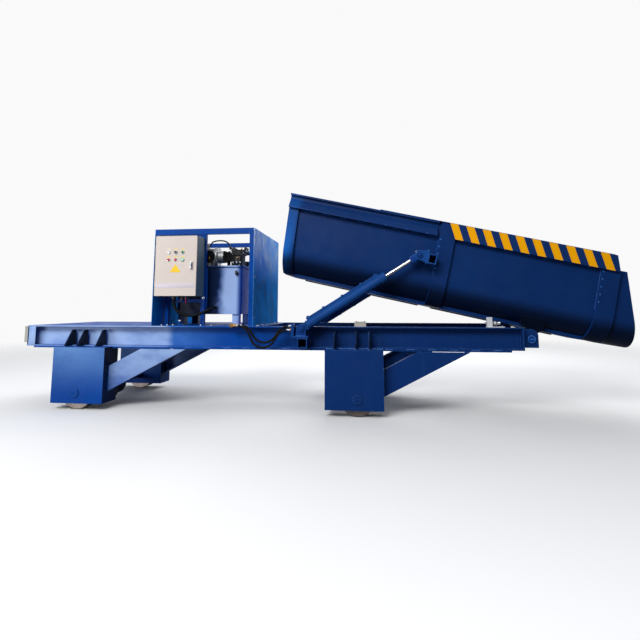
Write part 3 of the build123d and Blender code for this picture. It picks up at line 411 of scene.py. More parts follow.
# each name with its maker's values; a maker's keyword values stand in a dict at the end
ENAMELS = {
    "frame_blue": (*BLUE,),
    "beam_blue": (*BLUE, {"ground": beam_ground}),
    "box_blue": (*BLUE, {"ground": box_ground}),
    "brace_blue": (*BLUE, {"ground": brace_ground}),
    # the gussets: the chassis paint darkened nearly to black as painted shade
    "gusset_shaded_blue": (rgb(8, 20, 44), rgb(5, 12, 30), rgb(60, 116, 196)),
    # the hinge arms under the trough: its navy darkened nearly to black as painted shade
    "under_shaded_blue": (rgb(4, 12, 30), rgb(3, 8, 20), rgb(18, 44, 92)),
    "cylinder_blue": (rgb(26, 74, 142), rgb(12, 42, 92), rgb(72, 124, 196), 0.42,
                      {"specular": 0.05, "coat": 0.0}),
    "trough_shaded_blue": (*SHADED_BLUE, {"ground": trough_ground}),
    "panel_gloss": (*GLOSS, {"roughness": 0.36, "ground": panel_ground, "coat": 0.0, "specular": 0.0,
                             "metallic": panel_sheen}),
    "tank_gloss": (*GLOSS, {"roughness": 0.3, "coat": 0.05, "specular": 0.15, "ground": tank_ground}),
    "gear_grey": (rgb(26, 38, 62), rgb(16, 24, 42), rgb(86, 104, 140), 0.4),
    "motor_grey": (rgb(196, 194, 190), rgb(160, 158, 154), rgb(226, 226, 226), 0.36),
    "black_metal": (rgb(24, 25, 28), rgb(14, 14, 16), rgb(84, 86, 92), 0.36),
    "cabinet_enamel": (rgb(222, 210, 201), rgb(208, 196, 188), rgb(240, 232, 224), 0.42),
    # the cabinet body: its enamel darkened to a grey-green as painted shade on its side
    "cabinet_shade": (rgb(120, 140, 148), rgb(70, 92, 104), rgb(214, 212, 208), 0.4),
    "weld_blue": (rgb(26, 98, 190), rgb(10, 70, 156), rgb(150, 190, 236), 0.28),
    "weld_shaded_blue": (rgb(20, 62, 138), rgb(14, 44, 104), rgb(60, 124, 204), 0.32),
}
METALS = {
    "pin_steel": (rgb(150, 152, 156), rgb(92, 94, 100), 0.32),
    "wheel_steel": (rgb(184, 172, 164), rgb(112, 102, 96), 0.42, {"grain": (1.0, 6.0, 1.0)}),
    "cast_aluminium": (rgb(206, 206, 204), rgb(158, 158, 156), 0.45, {"scale": 160.0, "depth": 0.0005}),
    "zinc_plate": (rgb(214, 216, 220), rgb(166, 168, 176), 0.3, {"scale": 120.0}),
    "brass_fitting": (rgb(222, 170, 84), rgb(160, 108, 44), 0.3),
    "handle_chrome": (rgb(226, 228, 232), rgb(186, 188, 194), 0.16),
    "chrome_rod": (rgb(236, 238, 240), rgb(206, 208, 212), 0.14),
}
PLASTICS = {
    "pad_rubber": (rgb(176, 174, 164), rgb(140, 137, 126), 0.7, 180.0, 0.0006),
    "sensor_grey": (rgb(214, 217, 219), rgb(178, 181, 184), 0.35),
    "black_plastic": (rgb(22, 22, 24), rgb(36, 36, 40), 0.42),
    "green_cap": (rgb(6, 128, 70), rgb(4, 96, 52), 0.25),
    "red_cap": (rgb(206, 18, 44), rgb(160, 10, 32), 0.25),
    "lamp_lens": (rgb(240, 244, 243), rgb(222, 230, 230), 0.15),
    "hose_rubber": (rgb(14, 14, 16), rgb(26, 26, 28), 0.6, 420.0, 0.0003, 0.15),
    "conduit_plastic": (rgb(12, 12, 14), rgb(24, 24, 26), 0.5, {"specular": 0.2}),
    "boot_brown": (rgb(150, 98, 40), rgb(112, 70, 26), 0.4),
    "label_yellow": (rgb(243, 214, 108), rgb(226, 192, 78), 0.4),
    "label_pale": (rgb(240, 232, 186), rgb(226, 214, 160), 0.4),
    "sign_yellow": (rgb(250, 206, 10), rgb(236, 184, 6), 0.35),
    "strip_lilac": (rgb(214, 205, 214), rgb(204, 196, 208), 0.35),
    "lamp_green": (rgb(120, 206, 160), rgb(80, 176, 130), 0.25),
    "blue_plastic": (rgb(120, 160, 214), rgb(90, 130, 190), 0.35),
    "dial_white": (rgb(238, 238, 232), rgb(220, 220, 212), 0.4),
}
MATERIALS = {"hazard_stripes": hazard_enamel()}
for maker, table in ((enamel, ENAMELS), (metal, METALS), (plastic, PLASTICS)):
    for material_name, values in table.items():
        options = values[-1] if isinstance(values[-1], dict) else {}
        MATERIALS[material_name] = maker(material_name, *values[:len(values) - bool(options)], **options)


def paint(thing, name):
    """Gives an object one material."""
    thing.data.materials.clear()
    thing.data.materials.append(MATERIALS[name])


# ---- Mesh helpers: each adds to a bmesh, in the row frame ----
def spoke(angle):
    """A direction square to the car's cross axis; angle 0 is forwards, and a quarter turn is up."""
    return Vector((math.cos(angle), 0, math.sin(angle)))


def frame_of(axis, hint=None):
    """Two directions square to an axis and to each other."""
    axis = Vector(axis).normalized()
    if hint is None:
        hint = UP if abs(axis.z) < 0.9 else FORWARD
    first = (hint - axis * hint.dot(axis)).normalized()
    return first, axis.cross(first)


def add_rings(bm, rings, closed_ends=True, loop=True):
    """Skins rings of points, in order."""
    made = [[bm.verts.new(point) for point in ring] for ring in rings]
    count = len(made[0])
    for before, after in zip(made, made[1:]):
        for i in range(count if loop else count - 1):
            j = (i + 1) % count
            bm.faces.new((before[i], before[j], after[j], after[i]))
    if closed_ends:
        bm.faces.new(list(reversed(made[0])))
        bm.faces.new(made[-1])


def lathe(bm, origin, axis, profile, segments=32, start=0.0):
    """Turns a profile of (distance along, radius) about an axis."""
    origin = Vector(origin)
    axis = Vector(axis).normalized()
    first, second = frame_of(axis)
    rings = []
    for along, radius in profile:
        ring = []
        for i in range(segments):
            angle = start + 2 * math.pi * i / segments
            spoke = first * math.cos(angle) + second * math.sin(angle)
            ring.append(origin + axis * along + spoke * max(radius, 1e-5))
        rings.append(ring)
    add_rings(bm, rings)


def block(bm, centre, size, bevel=0.0015, axes=None, segments=2):
    """A box with eased edges, in the given axes."""
    axes = axes or (FORWARD, ACROSS, UP)
    corners = bmesh.ops.create_cube(bm, size=1.0)["verts"]
    basis = Matrix(axes).transposed().to_4x4()
    bmesh.ops.transform(bm, matrix=Matrix.Translation(Vector(centre)) @ basis @ Matrix.Diagonal((*size, 1)),
                        verts=corners)
    if bevel:
        edges = list(dict.fromkeys(edge for vert in corners for edge in vert.link_edges))
        bmesh.ops.bevel(bm, geom=edges, offset=min(bevel, min(size) * 0.45), segments=segments, profile=0.6,
                        affect="EDGES")


def around(bm, centre, out, radial, size, bevel=0.0006, segments=1):
    """A block out along a spoke of the cross axis; its size is along the spoke, across, and round."""
    block(bm, centre + radial * out, size, bevel, axes=(radial, NEAR, radial.cross(NEAR)), segments=segments)


def tube(bm, points, radius, segments=12, ripple=None):
    """A round tube through points; ripple gives the radius at each one."""
    points = [Vector(point) for point in points]
    rings = []
    first = None
    for i, point in enumerate(points):
        heading = (points[min(i + 1, len(points) - 1)] - points[max(i - 1, 0)]).normalized()
        first, second = frame_of(heading, first)
        size = radius if ripple is None else ripple(i)
        rings.append([point + (first * math.cos(a) + second * math.sin(a)) * size
                      for a in (2 * math.pi * k / segments for k in range(segments))])
    add_rings(bm, rings)


def smooth_path(points, steps=10):
    """A smooth line through points."""
    points = [Vector(point) for point in points]
    padded = [2 * points[0] - points[1]] + points + [2 * points[-1] - points[-2]]
    path = []
    for a, b, c, d in zip(padded, padded[1:], padded[2:], padded[3:]):
        for k in range(steps):
            t = k / steps
            path.append(0.5 * ((2 * b) + (c - a) * t + (2 * a - 5 * b + 4 * c - d) * t ** 2
                               + (3 * b - a - 3 * c + d) * t ** 3))
    path.append(points[-1])
    return path


def hex_bolt(bm, seat, axis, size=0.008, length=0.0, washer=True):
    """A washer, a hexagon head with chamfered corners and a short thread end, standing on a face."""
    seat = Vector(seat)
    axis = Vector(axis).normalized()
    lift = 0.0
    if washer:
        lift = size * 0.22
        lathe(bm, seat, axis, ((0, size * 1.55), (lift * 0.8, size * 1.55), (lift, size * 1.45)), 24)
    top = size * 0.95
    lathe(bm, seat + axis * lift, axis, ((0, size), (top * 0.82, size), (top, size * 0.82)), 6)
    if length:
        lathe(bm, seat + axis * (lift + top), axis,
              ((-0.001, size * 0.55), (length - 0.001, size * 0.55), (length, size * 0.45)), 14)


def cap_screw(bm, seat, axis, size=0.006):
    """A round socket head with a hollow."""
    lathe(bm, seat, axis, ((0, size), (size * 0.9, size), (size, size * 0.92), (size, size * 0.5),
                           (size * 0.45, size * 0.48), (size * 0.45, 0.0)), 20)


def weld_bead(bm, start, end, radius=0.005, pitch=0.007, seed=1):
    """A weld laid along a corner, with the ripples of its passes."""
    start = Vector(start)
    end = Vector(end)
    count = max(4, int((end - start).length / pitch))
    spread = random.Random(seed)
    wobble = [spread.uniform(-0.12, 0.12) for _ in range(2 * count + 1)]
    points = [start.lerp(end, i / (2 * count)) for i in range(2 * count + 1)]

    def size(i):
        return radius * ((0.86 if i % 2 else 1.08) + wobble[i])
    tube(bm, points, radius, 7, size)


def piece(name, body, material, slot, build, smooth=True):
    """Makes one object from what build adds to a bmesh, and puts it on a body."""
    bm = bmesh.new()
    build(bm)
    bmesh.ops.remove_doubles(bm, verts=bm.verts, dist=1e-6)
    bmesh.ops.dissolve_degenerate(bm, edges=bm.edges, dist=1e-6)
    bmesh.ops.recalc_face_normals(bm, faces=bm.faces)
    mesh = bpy.data.meshes.new(name)
    bm.to_mesh(mesh)
    bm.free()
    thing = bpy.data.objects.new(name, mesh)
    bpy.context.scene.collection.objects.link(thing)
    if smooth:
        mesh.polygons.foreach_set("use_smooth", [True] * len(mesh.polygons))
        mesh.set_sharp_from_angle(angle=math.radians(34))
    paint(thing, material)
    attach(thing, body)
    return thing


def made(body, material, slot=None, smooth=True):
    """Makes the piece that the function below builds, under that function's name."""
    def use(build):
        piece(build.__name__, body, material, slot or material, build, smooth)
        return build
    return use


# ---- Flexible lines: the same routes as the CAD tubes ----
def route_curve(name, points, resolution):
    """The smooth curve that a route's points control."""
    curve = bpy.data.curves.new(name, "CURVE")
    curve.dimensions = "3D"
    curve.resolution_u = resolution
    spline = curve.splines.new("NURBS")
    spline.points.add(len(points) - 1)
    for target, (station, y, z) in zip(spline.points, points):
        target.co = (*at(station, y, z), 1.0)
    spline.order_u = 3
    spline.use_endpoint_u = True
    return curve


def flexible_line(name, points, diameter, material):
    """A line on one smooth curve, standing for its CAD tube."""
    curve = route_curve(name, points, 10)
    curve.bevel_depth = diameter / 2
    curve.bevel_resolution = 6
    curve.use_fill_caps = True
    line = bpy.data.objects.new(name, curve)
    bpy.context.scene.collection.objects.link(line)
    curve.materials.append(MATERIALS[material])
    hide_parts(name.replace("_line", ""))
    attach(line, "chassis")


HOSE_OUTER = (
    (2.150, -0.604, 0.789), (2.190, -0.604, 0.789), (2.231, -0.607, 0.774), (2.266, -0.610, 0.744),
    (2.290, -0.613, 0.700), (2.311, -0.616, 0.650), (2.341, -0.619, 0.615), (2.381, -0.622, 0.594),
    (2.427, -0.626, 0.588), (2.472, -0.629, 0.599), (2.509, -0.632, 0.626), (2.538, -0.635, 0.664),
    (2.563, -0.638, 0.708), (2.597, -0.641, 0.738), (2.639, -0.644, 0.753), (2.679, -0.644, 0.753))
HOSE_INNER = (
    (2.171, -0.576, 0.790), (2.215, -0.576, 0.790), (2.256, -0.580, 0.774), (2.290, -0.583, 0.743),
    (2.313, -0.586, 0.699), (2.344, -0.590, 0.662), (2.384, -0.594, 0.639), (2.429, -0.597, 0.632),
    (2.474, -0.600, 0.641), (2.513, -0.604, 0.667), (2.542, -0.608, 0.704), (2.567, -0.611, 0.743),
    (2.603, -0.614, 0.772), (2.644, -0.618, 0.786), (2.687, -0.618, 0.786))
CONDUIT = (
    (1.460, -0.440, 1.046), (1.460, -0.440, 0.998), (1.478, -0.443, 0.948), (1.517, -0.447, 0.908),
    (1.570, -0.449, 0.884), (1.630, -0.447, 0.876), (1.690, -0.440, 0.881), (1.742, -0.423, 0.900),
    (1.785, -0.396, 0.924), (1.815, -0.361, 0.945), (1.830, -0.318, 0.955), (1.830, -0.276, 0.955))
flexible_line("hose_outer_line", HOSE_OUTER, 0.020, "hose_rubber")
flexible_line("hose_inner_line", HOSE_INNER, 0.020, "hose_rubber")


def route_points(points):
    """Points along the smooth curve that a route controls."""
    carrier = bpy.data.objects.new("route", route_curve("route", points, 24))
    mesh = bpy.data.meshes.new_from_object(carrier)
    found = [vertex.co.copy() for vertex in mesh.vertices]
    bpy.data.objects.remove(carrier)
    bpy.data.meshes.remove(mesh)
    return found


def evenly(points, pitch):
    """Points a pitch apart along a line, its two ends included."""
    lengths = [0.0]
    for a, b in zip(points, points[1:]):
        lengths.append(lengths[-1] + (b - a).length)
    count = max(2, round(lengths[-1] / pitch))
    found = []
    place = 0
    for i in range(count + 1):
        target = lengths[-1] * i / count
        while place < len(lengths) - 2 and lengths[place + 1] < target:
            place += 1
        share = (target - lengths[place]) / max(lengths[place + 1] - lengths[place], 1e-9)
        found.append(points[place].lerp(points[place + 1], min(1.0, share)))
    return found


def corrugated_conduit():
    """The conduit's ridges, on a tube along its route."""
    path = evenly(route_points(CONDUIT), 0.0016)

    def ridge(i):
        return 0.0138 + 0.0012 * (0.5 + 0.5 * math.cos(2 * math.pi * i / 4))
    line = piece("cable_conduit_line", "chassis", "conduit_plastic", "conduit_plastic",
                 lambda bm: tube(bm, path, 0.015, 20, ridge))
    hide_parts("cable_conduit")


corrugated_conduit()


# ---- Chassis: welds, fasteners and small fittings ----
GUSSETS = (0.480, 0.608, 0.800, 3.079, 3.277, 3.397)
BOXES = ((0.389, 0.909), (3.002, 3.522))
WEB_FACE = 0.485


BRACE_SLOPE = math.tan(math.radians(27.6))
BRACE_TOP = 0.564
TUBE_STATIONS = (2.753, 2.843)


@made("chassis", "weld_blue", "blue_paint")
def chassis_welds(bm):
    """Beads of the gussets, wheel boxes, braces, cylinder tube and its plate, and pivot brackets."""
    seed = 0
    for _, side in SIDES:
        def bead(start, end, radius, extra=0):
            ends = [at(station, side * y, z) for station, y, z in (start, end)]
            weld_bead(bm, *ends, radius, seed=seed + extra)

        for station in GUSSETS:
            for place in (station - 0.006, station + 0.006):
                seed += 1
                bead((place, WEB_FACE + 0.002, 0.593), (place, WEB_FACE + 0.022, 0.736), 0.0042)
                bead((place, 0.562, 0.582), (place, 0.668, 0.582), 0.0042, 40)
        for start, end in BOXES:
            bead((start, 0.5635, 0.582), (end, 0.5635, 0.582), 0.0045, 90)
            for y, extra in ((0.602, 120), (0.518, 121)):
                bead((end + 0.001, y, 0.170), (end + 0.001, y, 0.400), 0.0045, extra)
            for low in (0.168, 0.402):
                reach = (BRACE_TOP - low) / BRACE_SLOPE
                bead((end + 0.002, 0.520, low), (end + 0.002, 0.600, low), 0.0045, 130)
                bead((end + reach, 0.520, 0.563), (end + reach, 0.560, 0.563), 0.0045, 131)
        # the cylinder tube where it leaves the web, and the plate on it
        face = WEB_FACE + 0.006
        for z in (0.592, 0.682):
            bead((TUBE_STATIONS[0], face, z), (TUBE_STATIONS[1], face, z), 0.005, 150)
        for station in TUBE_STATIONS:
            bead((station, face, 0.592), (station, face, 0.682), 0.005, 160)
            bead((station, 0.566, 0.681), (station, 0.689, 0.681), 0.004, 161)
        for y in (0.602, 0.678):
            bead((2.742, y, 0.701), (2.830, y, 0.701), 0.004, 170)
        for y, extra in ((0.486, 180), (0.506, 181)):
            bead((4.7535, y, 0.604), (4.7535, y, 0.764), 0.004, extra)


@made("chassis", "weld_blue", "blue_paint")
def beam_seams(bm):
    """The stitch welds between each beam and the strip below it."""
    for _, side in SIDES:
        station = 0.12
        seed = 300
        while station < 4.6:
            seed += 1
            inside_box = any(rear - 0.08 < station < front for rear, front in BOXES)
            if not inside_box:
                ends = [at(x, side * 0.5605, 0.5795) for x in (station, station + 0.07)]
                weld_bead(bm, *ends, 0.0032, seed=seed)
            station += 0.19


@made("chassis", "frame_blue", "blue_paint")
def axle_cap_details(bm):
    """Grease nipple, two keeper screws and a rim on each axle cap."""
    for station in (0.631, 3.289):
        for _, side in SIDES:
            centre = at(station, side * 0.695, 0.157)
            out = ACROSS * side
            lathe(bm, centre, out,
                  ((-0.0005, 0.0385), (0.0015, 0.0385), (0.0015, 0.034), (-0.0005, 0.034)), 40)
            lathe(bm, centre, out, ((-0.001, 0.005), (0.004, 0.005), (0.005, 0.0035), (0.008, 0.0035),
                                    (0.010, 0.002)), 14)
            for shift in (-0.022, 0.022):
                cap_screw(bm, centre + Vector((shift, 0, 0)), out, 0.0045)


def hoop(bm, origin, axis, profile, segments=32):
    """Turns a closed profile of (distance along, radius) about an axis, leaving the middle open."""
    origin = Vector(origin)
    axis = Vector(axis).normalized()
    first, second = frame_of(axis)
    angles = [2 * math.pi * i / segments for i in range(segments)]
    rings = [[origin + axis * along + (first * math.cos(a) + second * math.sin(a)) * radius for a in angles]
             for along, radius in profile + profile[:1]]
    add_rings(bm, rings, closed_ends=False)


def nut(bm, seat, axis, radius, height, *tip, segments=6):
    """A nut or cap: a straight side of this radius and height, then the tip's (distance, radius) pairs."""
    lathe(bm, seat, axis, ((0, radius), (height, radius), *tip), segments)


def collar(start, end, inner, outer, ease=0.001):
    """A hoop's profile: a band with eased outer edges."""
    return ((start, inner), (start, outer - ease), (start + ease, outer), (end - ease, outer),
            (end, outer - ease), (end, inner))


# ---- Chassis fasteners ----
PIN_HEAD_FACE = 0.518


@made("chassis", "zinc_plate")
def frame_bolts(bm):
    """Bolts of the rear buffers, the rest pad and the sensor foot."""
    for _, side in SIDES:
        for z in (0.645, 0.738):
            cap_screw(bm, at(-0.036, side * 0.5185, z), -FORWARD, 0.009)
    for station in (3.279, 3.351):
        cap_screw(bm, at(station, -0.5225, 0.826), UP, 0.006)
    for station in (4.512, 4.578):
        hex_bolt(bm, at(station, -0.524, 0.788), UP, 0.0065)


@made("chassis", "weld_blue", "blue_paint")
def pivot_heads(bm):
    """The dished heads of the pivot pins, each with a keeper and two bolts."""
    for _, side in SIDES:
        out = ACROSS * side
        centre = at(4.826, side * PIN_HEAD_FACE, 0.677)
        hoop(bm, centre, out, ((-0.0005, 0.026), (-0.0005, 0.0345), (0.003, 0.0335), (0.003, 0.027)), 40)
        lathe(bm, centre, out, ((-0.0005, 0.011), (0.003, 0.011), (0.004, 0.009)), 24)
        for shift in (-0.018, 0.018):
            hex_bolt(bm, centre + FORWARD * shift, out, 0.0045, washer=False)


@made("chassis", "beam_blue", "blue_paint")
def end_covers(bm):
    """The thin plates that close the channels' mouths at the rear end."""
    for _, side in SIDES:
        block(bm, at(0.0425, side * 0.5585, 0.680), (0.084, 0.003, 0.178), 0.001)


@made("chassis", "zinc_plate")
def sensor_parts(bm):
    """The sensor's two lock nuts on its threaded nose, and the cable gland behind it."""
    nose = at(4.490, -0.524, 0.818)
    for start in (0.003, 0.030):
        hoop(bm, nose, FORWARD, collar(start, start + 0.008, 0.0148, 0.022), 6)
    for turn in range(11):
        hoop(bm, nose + FORWARD * (0.041 + turn * 0.0025), FORWARD,
             ((0, 0.0149), (0.00125, 0.0158), (0.0025, 0.0149)))
    nut(bm, at(4.446, -0.524, 0.818), -FORWARD, 0.011, 0.010, (0.012, 0.009), (0.018, 0.006), segments=20)


@made("chassis", "gear_grey")
def gearmotor_ribs(bm):
    """Cover rim and bolts of the gear case, the motor's cooling fins and its end cap."""
    middle = at(0.716, -0.441, 0.168)
    for station, low, high in ((0.60, 0.10, 0.236), (0.716, 0.083, 0.253), (0.83, 0.10, 0.236)):
        for z in (low, high):
            hex_bolt(bm, at(station, -0.440, z), NEAR, 0.0075)
    hoop(bm, middle + FORWARD * 0.08, NEAR, collar(-0.001, 0.008, 0.040, 0.050), 40)
    lathe(bm, middle + FORWARD * 0.08, NEAR,
          ((-0.001, 0.034), (0.005, 0.034), (0.007, 0.030), (0.007, 0.0)), 32)
    for i in range(26):
        angle = 2 * math.pi * i / 26
        radial = spoke(angle)
        block(bm, at(0.796, -0.306, 0.178) + radial * 0.083, (0.003, 0.142, 0.010), 0.0006,
              axes=(radial.cross(NEAR), NEAR, radial), segments=1)


@made("chassis", "zinc_plate")
def guard_fixings(bm):
    """Zinc bolts and their clips along the foot of the guard and round its open corner."""
    for y in (-0.46, -0.30, -0.12, 0.06, 0.24, 0.42):
        block(bm, at(2.319, y, 0.7825), (0.040, 0.034, 0.005), 0.001)
        hex_bolt(bm, at(2.320, y, 0.785), UP, 0.0075)
    for station in (1.345, 1.408, 1.466, 1.75, 1.86):
        hex_bolt(bm, at(station, -0.452, 0.780), UP, 0.0075, 0.006)
    for z in (0.86, 1.25, 1.64):
        hex_bolt(bm, at(2.298, -0.505, z), FORWARD, 0.0055)
        hex_bolt(bm, at(1.282, 0.500, z), -FORWARD, 0.0055)
    hex_bolt(bm, at(1.728, -0.345, 1.052), NEAR, 0.009)


@made("chassis", "weld_blue", "blue_paint")
def guard_welds(bm):
    """Beads where the guard's sheets, posts and header meet each other and the deck."""
    seed = 500
    for station in (1.2815, 2.2985):
        for y in (-0.44, -0.18, 0.08, 0.34):
            seed += 1
            weld_bead(bm, at(station, y, DECK_WELD), at(station, y + 0.10, DECK_WELD), 0.0035, seed=seed)
    weld_bead(bm, at(2.2475, -0.5345, 1.673), at(2.2475, -0.5345, 1.727), 0.003, seed=540)
    weld_bead(bm, at(2.252, -0.5345, DECK_WELD), at(2.293, -0.5345, DECK_WELD), 0.0035, seed=541)


# ---- Electric cabinet ----
DOOR_FACE = -0.545
CONTROL_STATIONS = (1.440, 1.511, 1.582)
UPPER_ROW = 1.496
LOWER_ROW = 1.423
BEZEL_FACE = -0.550


def label_plate(bm, station, row):
    block(bm, at(station, DOOR_FACE - 0.0005, row + 0.029), (0.034, 0.0014, 0.011), 0.0004)


@made("door", "label_yellow", "hazard_paint")
def yellow_labels(bm):
    """The small blank plates above five of the controls."""
    for row in (UPPER_ROW, LOWER_ROW):
        for station in CONTROL_STATIONS:
            if (row, station) != (UPPER_ROW, CONTROL_STATIONS[0]):
                label_plate(bm, station, row)


piece("pale_label", "door", "label_pale", "lamp_lens",
      lambda bm: label_plate(bm, CONTROL_STATIONS[0], UPPER_ROW))


@made("door", "sign_yellow", "hazard_paint", smooth=False)
def door_triangle(bm):
    """A blank yellow triangle with rounded corners."""
    centre = at(1.5115, DOOR_FACE, 1.326)
    corners = [centre + Vector((x, 0, z)) for x, z in ((-0.050, -0.0235), (0.050, -0.0235), (0.0, 0.0485))]
    middle = sum(corners, Vector()) / 3
    ring = []
    for corner in corners:
        inward = (middle - corner).normalized()
        heart = corner + inward * 0.004
        first = math.atan2(-inward.z, -inward.x)
        for step in range(-4, 5):
            angle = first + step * math.radians(15)
            ring.append(heart + spoke(angle) * 0.0055)
    add_rings(bm, [[point + Vector((0, -lift, 0)) for point in ring] for lift in (0.0, 0.0010)])


piece("door_strip", "door", "strip_lilac", "lamp_lens",
      lambda bm: block(bm, at(1.5105, DOOR_FACE - 0.0003, 1.1695), (0.393, 0.0012, 0.044), 0.0004))


@made("door", "zinc_plate")
def bezels(bm):
    """A chromed ring round each control."""
    for row in (UPPER_ROW, LOWER_ROW):
        for station in CONTROL_STATIONS:
            hoop(bm, at(station, DOOR_FACE, row), NEAR,
                 ((-0.0003, 0.0172), (-0.0003, 0.0184), (0.0035, 0.0182), (0.0062, 0.0172), (0.0062, 0.0135),
                  (0.0048, 0.0135)), 36)


piece("lamp_ring", "door", "lamp_green", "green_cap",
      lambda bm: hoop(bm, at(CONTROL_STATIONS[2], BEZEL_FACE, LOWER_ROW), NEAR,
                      ((0.0012, 0.0122), (0.0012, 0.0188), (0.0040, 0.0180), (0.0052, 0.0122)), 36))


@made("door", "cabinet_enamel")
def door_edges(bm):
    """The folded rim round the door, set in by a thin dark gap from the shell."""
    left, right, low, high = 1.301, 1.726, 1.068, 1.660
    rim = 0.004
    for z in (low + rim / 2, high - rim / 2):
        block(bm, at((left + right) / 2, DOOR_FACE - 0.0004, z), (right - left, 0.0014, rim), 0.0006)
    for station in (left + rim / 2, right - rim / 2):
        block(bm, at(station, DOOR_FACE - 0.0004, (low + high) / 2), (rim, 0.0014, high - low), 0.0006)


@made("chassis", "hose_rubber")
def door_seal(bm):
    """The rubber strip squeezed between door and shell."""
    for z in (1.0675, 1.6605):
        block(bm, at(1.5135, -0.527, z), (0.420, 0.003, 0.0014), 0)
    for station in (1.3005, 1.7265):
        block(bm, at(station, -0.527, 1.364), (0.0014, 0.003, 0.588), 0)


@made("chassis", "cabinet_enamel")
def door_hinges(bm):
    """Two hinges on the left edge, three barrels in each."""
    length = 0.017
    for z in (1.190, 1.538):
        for shift in (-0.018, 0.0, 0.018):
            lathe(bm, at(1.2965, -0.531, z + shift - length / 2), UP,
                  ((0, 0.0040), (0.0008, 0.0048), (length - 0.0008, 0.0048), (length, 0.0040)), 18)


piece("handle_dot", "handle", "blue_plastic", "black_plastic",
      lambda bm: lathe(bm, at(1.678, -0.5636, 1.352), NEAR,
                       ((0, 0.0062), (0.0012, 0.0058), (0.0018, 0.004)), 24))


@made("chassis", "black_plastic")
def cable_glands(bm):
    """Hexagon nuts and domed caps on the three glands under the cabinet, and the conduit's two collars."""
    for station, size in ((1.460, 0.021), (1.540, 0.013), (1.585, 0.013)):
        seat = at(station, -0.440, 1.0675)
        hoop(bm, seat, -UP, collar(-0.001, 0.007, size - 0.001, size * 1.26), 6)
        hoop(bm, seat, -UP, collar(0.011, 0.019, size - 0.001, size * 1.18), 6)
    hoop(bm, at(*CONDUIT[0]), -UP, collar(-0.006, 0.016, 0.0152, 0.0205), 32)
    hoop(bm, at(*CONDUIT[-1]), NEAR, collar(-0.014, 0.012, 0.0152, 0.0205), 32)


def gland_boots(bm, station, length):
    """A blank boot in an unused gland."""
    lathe(bm, at(station, -0.440, 1.0465), -UP,
          ((0, 0.0095), (length * 0.3, 0.0090), (length * 0.34, 0.0068), (length, 0.0055),
           (length + 0.002, 0.003)), 20)


piece("red_boot", "chassis", "red_cap", "red_cap", lambda bm: gland_boots(bm, 1.585, 0.046))
piece("brown_boot", "chassis", "boot_brown", "brass_fitting", lambda bm: gland_boots(bm, 1.540, 0.026))


@made("chassis", "frame_blue", "blue_paint")
def earth_stud(bm):
    """A short tube welded to the deck's edge."""
    nut(bm, at(1.534, -0.452, 0.7795), UP, 0.016, 0.004, (0.006, 0.011), (0.044, 0.011), segments=24)


piece("earth_stud_cap", "chassis", "lamp_lens", "lamp_lens",
      lambda bm: nut(bm, at(1.534, -0.452, 0.823), UP, 0.0125, 0.006,
                     (0.010, 0.0105), (0.011, 0.006), segments=24))


# ---- Power pack ----
MOTOR_Y = -0.150
MOTOR_Z = 1.487
MOTOR_RADIUS = 0.092
VALVE_ROWS = (-0.206, -0.142)
COIL_STATIONS = (1.990, 2.114)
LID_TOP = 1.385
BLOCK_TOP = 1.503


def on_motor(station, radius=0.0, angle=0.0):
    """A point round the motor's axis; angle 0 is up, and a quarter turn is the near side."""
    return at(station, MOTOR_Y - radius * math.sin(angle), MOTOR_Z + radius * math.cos(angle))


@made("chassis", "motor_grey")
def motor_fins(bm):
    """Cooling ribs along the motor, left out under the terminal box and over the feet."""
    for i in range(40):
        angle = 2 * math.pi * (i + 0.5) / 40
        if math.cos(angle) > 0.84 or (math.cos(angle) < -0.5 and abs(math.sin(angle)) > 0.6):
            continue
        radial = on_motor(1.6, 1.0, angle) - on_motor(1.6)
        block(bm, on_motor(1.645, MOTOR_RADIUS + 0.003, angle), (0.262, 0.0028, 0.012), 0.0006,
              axes=(FORWARD, radial.cross(FORWARD), radial), segments=1)
    hoop(bm, on_motor(1.778), FORWARD, collar(0, 0.012, MOTOR_RADIUS - 0.001, MOTOR_RADIUS + 0.010), 48)


@made("chassis", "black_metal")
def fan_cowl(bm):
    """The pressed cover over the fan, with its ringed grille."""
    lathe(bm, on_motor(1.439), FORWARD, ((0.0, 0.018), (0.0, 0.080), (0.004, 0.092), (0.012, 0.0972),
                                         (0.066, 0.0985), (0.068, 0.0960), (0.068, 0.0930)), 48)
    for radius in (0.026, 0.038, 0.050, 0.062, 0.074):
        hoop(bm, on_motor(1.4385), -FORWARD, collar(-0.001, 0.003, radius - 0.003, radius, 0.0008), 40)
    for i in range(8):
        angle = math.pi * i / 4
        radial = on_motor(1.4, 1.0, angle) - on_motor(1.4)
        block(bm, on_motor(1.4375, 0.049, angle), (0.004, 0.003, 0.056), 0.0005,
              axes=(FORWARD, radial.cross(FORWARD), radial), segments=1)


@made("chassis", "black_metal")
def cooler_fan(bm):
    """The round black fan housing on the motor's near side, with its spokes and rings."""
    heart = at(1.735, -0.222, 1.486)
    lathe(bm, heart, NEAR, ((0, 0.056), (0.006, 0.0625), (0.034, 0.0625), (0.040, 0.057), (0.040, 0.052),
                            (0.030, 0.050), (0.030, 0.0)), 48)
    for radius in (0.018, 0.030, 0.042):
        hoop(bm, heart + NEAR * 0.036, NEAR, collar(0, 0.004, radius - 0.0026, radius, 0.0006), 36)
    nut(bm, heart + NEAR * 0.029, NEAR, 0.012, 0.012, (0.014, 0.008), segments=24)
    for i in range(6):
        angle = math.pi * i / 3 + 0.3
        radial = spoke(angle)
        around(bm, heart + NEAR * 0.0375, 0.032, radial, (0.044, 0.004, 0.004))


